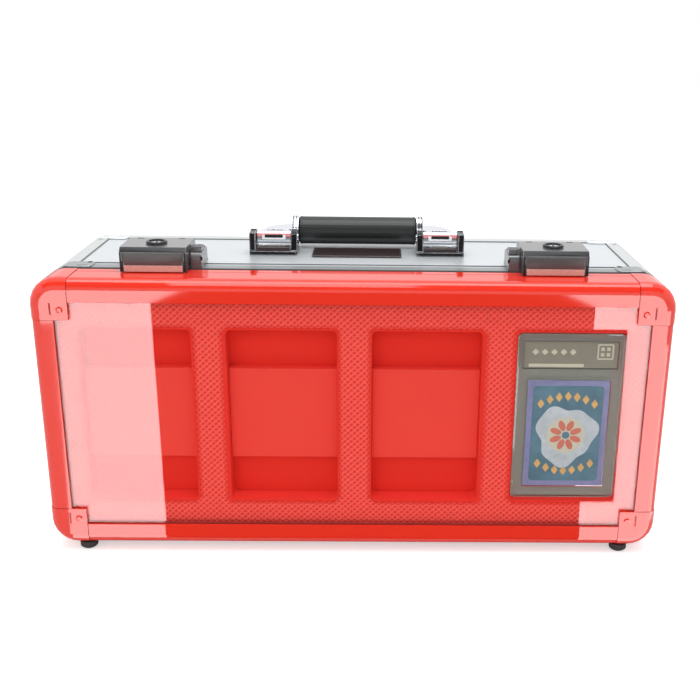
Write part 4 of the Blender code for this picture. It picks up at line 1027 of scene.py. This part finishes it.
class CARDCASE_OT_fittings(bpy.types.Operator):
    """Finishes the latches and the handle and adds their small parts"""

    bl_idname = "cardcase.fittings"
    bl_label = "Latches and handle"

    def execute(self, context):
        for side, hand in HANDS:
            dress("gunmetal", f"hasp_{hand}", f"latch_base_{hand}", f"slide_button_{hand}")
            dress("chrome_plate", f"lock_plug_{hand}", f"handle_arm_{hand}")
            dress("catch_painted_reflection", f"lid_catch_{hand}")
            dress("bracket_plating", f"handle_base_{hand}")
            self.hasp(hand)
            self.lip(hand)
            self.lock(hand)
            self.pod(side, hand)
            self.bracket(side, hand)
        dress("grip_sleeve", "handle_grip")
        self.grip()
        return {"FINISHED"}

    def hasp(self, hand):
        """Dark chamfer band with its posts, raised front panel, side ribs and the rear slots."""
        low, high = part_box(f"hasp_{hand}")
        body = f"{hand}_hasp"
        centre, half = (low.x + high.x) / 2, (high.x - low.x) / 2
        place = facing_front(low.y)
        sill, brow = low.z + SKIRT_LIFT, HASP_TOP - HASP_CHAMFER
        lean = math.sqrt(0.5)
        bevel = lambda a, b, out: (
            a, low.y + HASP_CHAMFER / 2 + lean * (b - out), HASP_TOP - HASP_CHAMFER / 2 + lean * (b + out)
        )
        size = (2 * half - 0.0006, HASP_CHAMFER * math.sqrt(2) - 0.0004)
        bm = pad(size, 0.0003, ((0, -0.0002), (0, 0.0001), (0.0002, 0.0002)), bevel, (centre, 0))
        size, levels = (0.0022, brow - low.z - 0.0004), ((0, -0.0002), (0, 0.0002), (0.0002, 0.0003))
        for end in ENDS:
            pad(size, 0.0003, levels, place, (centre + end * (half - 0.0013), (low.z + brow) / 2), bm)
        link_mesh(f"hasp_front_frame_{hand}", bm, "dark_plating", body)
        middle = (sill + brow) / 2
        foot, wide = half - 0.0040, half - 0.0026
        skirt = (
            (-foot, sill), (foot, sill), (wide, sill + 0.0022),
            (wide, brow - 0.0003), (-wide, brow - 0.0003), (-wide, sill + 0.0022),
        )
        loops = []
        for inset, out in ((0, -0.0012), (0, 0.0003), (0.0005, 0.0006)):
            share_x, share_z = 1 - inset / half, 1 - 2 * inset / (brow - sill)
            loops.append([place(centre + share_x * a, middle + share_z * (b - middle), out) for a, b in skirt])
        link_mesh(f"hasp_front_panel_{hand}", skin(loops), "front_plating", body)
        bm = bmesh.new()
        size, levels = (0.0011, brow - sill - 0.0030), ((0, 0.0001), (0.0002, 0.0007))
        for end in ENDS:
            pad(size, 0.0002, levels, place, (centre + end * (half - 0.0018), middle + 0.0012), bm)
        link_mesh(f"hasp_front_ribs_{hand}", bm, "gunmetal", body)
        bm = bmesh.new()
        levels = ((0, -0.0003), (0.0001, 0.00015))
        for end in ENDS:
            slot = (centre + end * HASP_SLOT[0], HASP_SLOT[1])
            pad((0.0052, 0.0013), 0.0005, levels, facing_up(HASP_TOP), slot, bm)
        link_mesh(f"hasp_rear_slots_{hand}", bm, "black_rubber", body)

    def lip(self, hand):
        """Ribbed finger lip along the lower edge of the hasp's front, in the catch colour, which is a painted
        reflection.
        """
        low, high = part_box(f"hasp_{hand}")
        centre, width = (low.x + high.x) / 2, high.x - low.x - 0.0060
        tall = SKIRT_LIFT - 0.0004
        face, level = facing_front(low.y), low.z + 0.0001 + tall / 2
        bm = pad((width, tall), 0.0004, ((0, -0.0008), (0, 0.0001), (0.0002, 0.0003)), face, (centre, level))
        rise = tall / 2 - 0.0004
        leaning = ((-0.0009, -rise), (-0.0003, -rise), (0.0009, rise), (0.0003, rise))
        for step in range(RIB_COUNT):
            across = centre + (step - RIB_COUNT // 2) * width / (RIB_COUNT + 1)
            prism([(across + a, level + b) for a, b in leaning], 0.0001, 0.0006, face, bm)
        link_mesh(f"hasp_lip_{hand}", bm, "catch_painted_reflection", f"{hand}_hasp")

    def lock(self, hand):
        """Dark bezel on the hasp and the key slot on the turning plug."""
        low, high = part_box(f"lock_plug_{hand}")
        centre = middle_of((low, high), "xy")
        section = (
            (LOCK_RING - 0.0021, -0.0004), (LOCK_RING - 0.0021, 0.0003), (LOCK_RING - 0.0016, 0.0006),
            (LOCK_RING - 0.0006, 0.0006), (LOCK_RING + 0.0003, -0.0001), (LOCK_RING + 0.0003, -0.0009),
        )
        bm = hoop(section, centre, facing_up(LOCK_RING_TOP), LOCK_STEPS)
        link_mesh(f"lock_bezel_{hand}", bm, "dark_plating", f"{hand}_hasp")
        place = around(centre, facing_up(high.z))
        bm = pad((0.0013, 0.0060), 0.0004, ((0, -0.0003), (0.0001, 0.00012)), place)
        bow = arc((0, 0), 0.0044, 20, 160, 10) + arc((0, 0), 0.0028, 160, 20, 10)
        prism(bow, -0.0003, 0.00012, place, bm)
        link_mesh(f"key_slot_{hand}", bm, "black_rubber", f"{hand}_lock")

    def pod(self, side, hand):
        """Black arch behind the slide button, a painted shadow gap round the button's end, and a dark pin on
        the pod's nose.
        """
        low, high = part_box(f"slide_button_{hand}")
        x = (low.x + high.x) / 2
        # Raised black ring painted as the shadow gap round the button's end.
        ring = arc((x, ARCH_Y), 0.0034, -8, 188, 14) + arc((x, ARCH_Y), 0.0019, 188, -8, 14)
        bm = prism(ring, -0.0003, 0.0004, facing_up(POD_TOP))
        link_mesh(f"pod_arch_painted_shadow_{hand}", bm, "black_rubber", "case")
        wall = side * (abs(x) - 0.0041)
        nose = (low.y - 0.0040, POD_TOP - 0.0042)
        slanted = lambda a, b, out: (
            wall - side * out, nose[0] + 1.21 * b - 0.54 * a, nose[1] - 1.76 * b - 0.18 * a
        )
        bm = turned(((0.0008, -0.0008), (0.0013, 0.0001), (0.0009, 0.0007), (0.0003, 0.0009)), slanted)
        link_mesh(f"pod_pin_{hand}", bm, "dark_plating", "case")

    def bracket(self, side, hand):
        """Framed slot in the arm with a near-white frame that is a painted highlight, cheek on the outer ear,
        a dark sill whose red tint is a painted reflection, pin heads and rivets.
        """
        low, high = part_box(f"handle_base_{hand}")
        centre, half = (low.x + high.x) / 2, (high.x - low.x) / 2
        reach = HANDLE_AXIS[0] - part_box(f"handle_arm_{hand}")[0].y
        across, rise = math.cos(SLOT_TILT), math.sin(SLOT_TILT)
        tilted = lambda a, b, out: (
            a,
            HANDLE_AXIS[0] - across * (reach + out) + rise * b,
            HANDLE_AXIS[1] + rise * (reach + out) + across * b,
        )
        block = (centre, 0.0002)
        # The slot frame's near-white matte finish is a painted highlight.
        bm = pad((0.0196, 0.0060), 0.0008, ((0, -0.0030), (0, 0.0002), (0.0003, 0.0005)), tilted, block)
        link_mesh(f"arm_slot_frame_{hand}", bm, "painted_highlight_plate", "handle")
        bm = pad((0.0148, 0.0026), 0.0004, ((0, 0.0001), (0, 0.0005), (0.0002, 0.0006)), tilted, block)
        link_mesh(f"arm_slot_liner_{hand}", bm, "dark_plating", "handle")
        face = facing_front(low.y + 0.0012)
        top = high.z - 0.0006
        cheek = (centre + side * (half - 0.0028), (top + BRACKET_PLATE_TOP) / 2)
        levels = ((0, -0.0080), (0, 0.0004), (0.0005, 0.0009))
        bm = pad((0.0050, top - BRACKET_PLATE_TOP), 0.0008, levels, face, cheek)
        link_mesh(f"bracket_cheek_{hand}", bm, "bracket_plating", "case")
        # Dark strip on the bracket's front whose red tint is a painted reflection.
        sill = (centre, BRACKET_PLATE_TOP + 0.0016)
        levels = ((0, -0.0030), (0, 0.0004), (0.0004, 0.0008))
        bm = pad((2 * half - 0.0118, 0.0036), 0.0006, levels, face, sill)
        link_mesh(f"bracket_sill_painted_reflection_{hand}", bm, "name_plate", "case")
        bm = bmesh.new()
        for end, wall in ((-1, low.x), (1, high.x)):
            outward = lambda a, b, out: (wall + end * (out - 0.0003), HANDLE_AXIS[0] + a, HANDLE_AXIS[1] + b)
            dome(0.0028, 0.0011, outward, bm, foot=0.0002)
        link_mesh(f"bracket_pin_heads_{hand}", bm, "chrome_plate", "case")
        bm = bmesh.new()
        for end in ENDS:
            spot = (centre + end * BRACKET_RIVET[0], high.y - BRACKET_RIVET[1])
            dome(0.0024, 0.0010, around(spot, facing_up(BRACKET_PLATE_TOP)), bm, foot=0.0002)
        link_mesh(f"bracket_rivets_{hand}", bm, "chrome_plate", "case")

    def grip(self):
        """Dark rings on the collars, clipped at the case's height, and rolled ends on the sleeve."""
        low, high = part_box("handle_grip")
        radius = (high.z - low.z) / 2
        centre = middle_of((low, high), "yz")
        ceiling = CAD_BOX[1].z - 0.00002
        rolled = bmesh.new()
        for side, hand in HANDS:
            end = high.x if side > 0 else -low.x
            clipped = lambda y, z, reach: (side * (end + reach), y, min(z, ceiling))
            bm = bmesh.new()
            for offset in (0.0022, 0.0047):
                section = ((0.0001, -0.0005), (0.0008, -0.0003), (0.0008, 0.0003), (0.0001, 0.0005))
                ring = [(radius + grow, offset + step) for grow, step in section]
                hoop(ring, centre, clipped, GRIP_STEPS, bm)
            link_mesh(f"collar_rings_{hand}", bm, "dark_plating", "handle")
            section = ((-0.0002, -0.0030), (0.0003, -0.0026), (0.0003, -0.0014), (-0.0002, -0.0010))
            ring = [(radius + grow, step) for grow, step in section]
            hoop(ring, centre, lambda y, z, reach: (side * (end + reach), y, z), GRIP_STEPS, rolled)
        link_mesh("grip_end_bands", rolled, "grip_sleeve", "handle")


def stage_plane(name, corners, material):
    """One face that belongs to the studio."""
    mesh = bpy.data.meshes.new(name)
    mesh.from_pydata([Vector(corner) for corner in corners], [], [tuple(range(len(corners)))])
    mesh.materials.append(material)
    plane = bpy.data.objects.new(name, mesh)
    bpy.context.scene.collection.objects.link(plane)
    return plane


def floor_material():
    """White floor that takes the object's shadow and stays white for the eye and through glass."""
    material, tree, shader = new_material("floor")
    tree.nodes.remove(shader)
    matte = node_in(tree, "BsdfDiffuse", {"Color": (FLOOR_WHITE, FLOOR_WHITE, FLOOR_WHITE, 1)})
    path = node_in(tree, "LightPath").outputs
    seen = calculate(tree, "MAXIMUM", path["Is Camera Ray"], path["Is Transmission Ray"])
    glow = node_in(tree, "Emission", {"Strength": calculate(tree, "MULTIPLY", seen, FLOOR_GLOW)})
    show(tree, node_in(tree, "AddShader", {0: matte.outputs[0], 1: glow.outputs[0]}))
    return material


def light_card(name, corners, brightness):
    """A card that only shows in glossy surfaces."""
    material, tree, shader = new_material(name)
    tree.nodes.remove(shader)
    glow = node_in(tree, "Emission", {"Strength": brightness}).outputs[0]
    clear = node_in(tree, "BsdfTransparent").outputs[0]
    mirrored = calculate(tree, "GREATER_THAN", node_in(tree, "LightPath").outputs["Glossy Depth"], 0.5)
    show(tree, node_in(tree, "MixShader", {0: mirrored, 1: clear, 2: glow}))
    card = stage_plane(name, corners, material)
    card.visible_camera = False
    card.visible_diffuse = False
    card.visible_shadow = False


def softbox(name, location, size, power):
    """Rectangular lamp that faces the case."""
    lamp = bpy.data.lights.new(name, "AREA")
    lamp.shape = "RECTANGLE"
    lamp.size, lamp.size_y = size
    lamp.energy = power
    item = bpy.data.objects.new(name, lamp)
    item.location = location
    item.rotation_euler = (Vector(LAMP_TARGET) - Vector(location)).to_track_quat("-Z", "Y").to_euler()
    bpy.context.scene.collection.objects.link(item)


class CARDCASE_OT_stage(bpy.types.Operator):
    """Makes the floor, the softboxes, the reflected cards and the camera"""

    bl_idname = "cardcase.stage"
    bl_label = "Studio"

    def execute(self, context):
        scene = context.scene
        studio = scene.case_studio
        floor = [(a * FLOOR_REACH, b * FLOOR_REACH, 0) for a, b in ((-1, -1), (1, -1), (1, 1), (-1, 1))]
        stage_plane("studio_floor", floor, floor_material())
        self.sky(scene, studio)
        softbox("key_softbox", KEY_PLACE, KEY_SIZE, studio.key)
        softbox("fill_softbox", FILL_PLACE, FILL_SIZE, studio.fill)
        self.cards(studio)
        self.camera(scene, studio)
        scene.view_settings.view_transform = "Standard"
        return {"FINISHED"}

    def sky(self, scene, studio):
        """World that is white for the eye, in metal and through glass, and dimmer as a light."""
        world = bpy.data.worlds.new("studio_sky")
        world.use_nodes = True
        scene.world = world
        tree = world.node_tree
        path = node_in(tree, "LightPath").outputs
        seen = path["Is Camera Ray"]
        for kind in ("Is Glossy Ray", "Is Transmission Ray"):
            seen = calculate(tree, "MAXIMUM", seen, path[kind])
        level = node_in(tree, "MapRange", {"To Min": studio.sky, "To Max": 1.0, "Value": seen})
        given = {"Color": (1, 1, 1, 1), "Strength": level.outputs["Result"]}
        fill(tree, tree.nodes["Background"], given)

    def camera(self, scene, studio):
        """Camera at the studio's place, turned by its pitch, yaw and roll."""
        data = bpy.data.cameras.new("camera")
        data.lens = studio.lens
        data.shift_x, data.shift_y = studio.shift_x, studio.shift_y
        camera = bpy.data.objects.new("camera", data)
        scene.collection.objects.link(camera)
        turn = Matrix.Rotation(studio.yaw, 4, "Z") @ Matrix.Rotation(math.pi / 2 - studio.pitch, 4, "X")
        place = Matrix.Translation((studio.offset, -studio.distance, studio.height))
        camera.matrix_world = place @ turn @ Matrix.Rotation(studio.roll, 4, "Z")
        scene.camera = camera

    def cards(self, studio):
        """A wide bright card low in front, a dark one on it with a rounded end, and a dark flag."""
        front = CAD_BOX[0].y - 0.004
        far = front - CARD_REACH
        steps = [(x, front - reach) for x, reach in CARD_STEP]
        plan = [*steps, (CARD_STEP[-1][0], far), (CARD_SIDE, far), (CARD_SIDE, front)]
        light_card("bright_card", [(x, y, 0.003) for x, y in plan], studio.card_light)
        left = [(DARK_LEFT - DARK_SPREAD[0] * reach, front - reach) for reach in (0.0, 0.35, DARK_SHOULDER)]
        edge = ((0.0, 0.0), *DARK_NOTCH, (DARK_SHOULDER, 0.0))
        right = [(DARK_RIGHT + DARK_SPREAD[1] * reach + more, front - reach) for reach, more in edge]
        middle = (left[-1][0] + right[-1][0]) / 2
        half = (right[-1][0] - left[-1][0]) / 2
        bow = []
        for step in range(1, DARK_STEPS):
            share = 2 * step / DARK_STEPS - 1
            swell = (1 - abs(share) ** DARK_POWER) ** (1 / DARK_POWER)
            bow.append((middle + half * share, front - DARK_SHOULDER - DARK_BOW * swell))
        plan = [*left, *bow, *reversed(right)]
        light_card("dark_card", [(x, y, 0.004) for x, y in plan], studio.card_dark)
        light_card("high_flag", FLAG, studio.flag)


class CARDCASE_PT_panel(bpy.types.Panel):
    """Sidebar panel with one button for each group of pieces"""

    bl_label = "Card Case"
    bl_idname = "CARDCASE_PT_panel"
    bl_space_type = "VIEW_3D"
    bl_region_type = "UI"
    bl_category = "Card Case"

    def draw(self, context):
        column = self.layout.column()
        for operator in OPERATORS:
            column.operator(operator.bl_idname)


OPERATORS = (
    CARDCASE_OT_lid,
    CARDCASE_OT_body,
    CARDCASE_OT_tray,
    CARDCASE_OT_slab,
    CARDCASE_OT_fittings,
    CARDCASE_OT_stage,
)
CLASSES = (CaseColours, StudioSettings, GrainSizes, *OPERATORS, CARDCASE_PT_panel)


def register():
    for item in CLASSES:
        bpy.utils.register_class(item)
    bpy.types.Scene.case_colours = PointerProperty(type=CaseColours)
    bpy.types.Scene.case_studio = PointerProperty(type=StudioSettings)
    bpy.types.Scene.case_grain = PointerProperty(type=GrainSizes)


def unregister():
    del bpy.types.Scene.case_grain
    del bpy.types.Scene.case_studio
    del bpy.types.Scene.case_colours
    for item in reversed(CLASSES):
        bpy.utils.unregister_class(item)


def main():
    register()
    bpy.ops.cardcase.lid()
    bpy.ops.cardcase.body()
    bpy.ops.cardcase.tray()
    bpy.ops.cardcase.slab()
    bpy.ops.cardcase.fittings()
    bpy.ops.cardcase.stage()


if __name__ == "__main__":
    main()
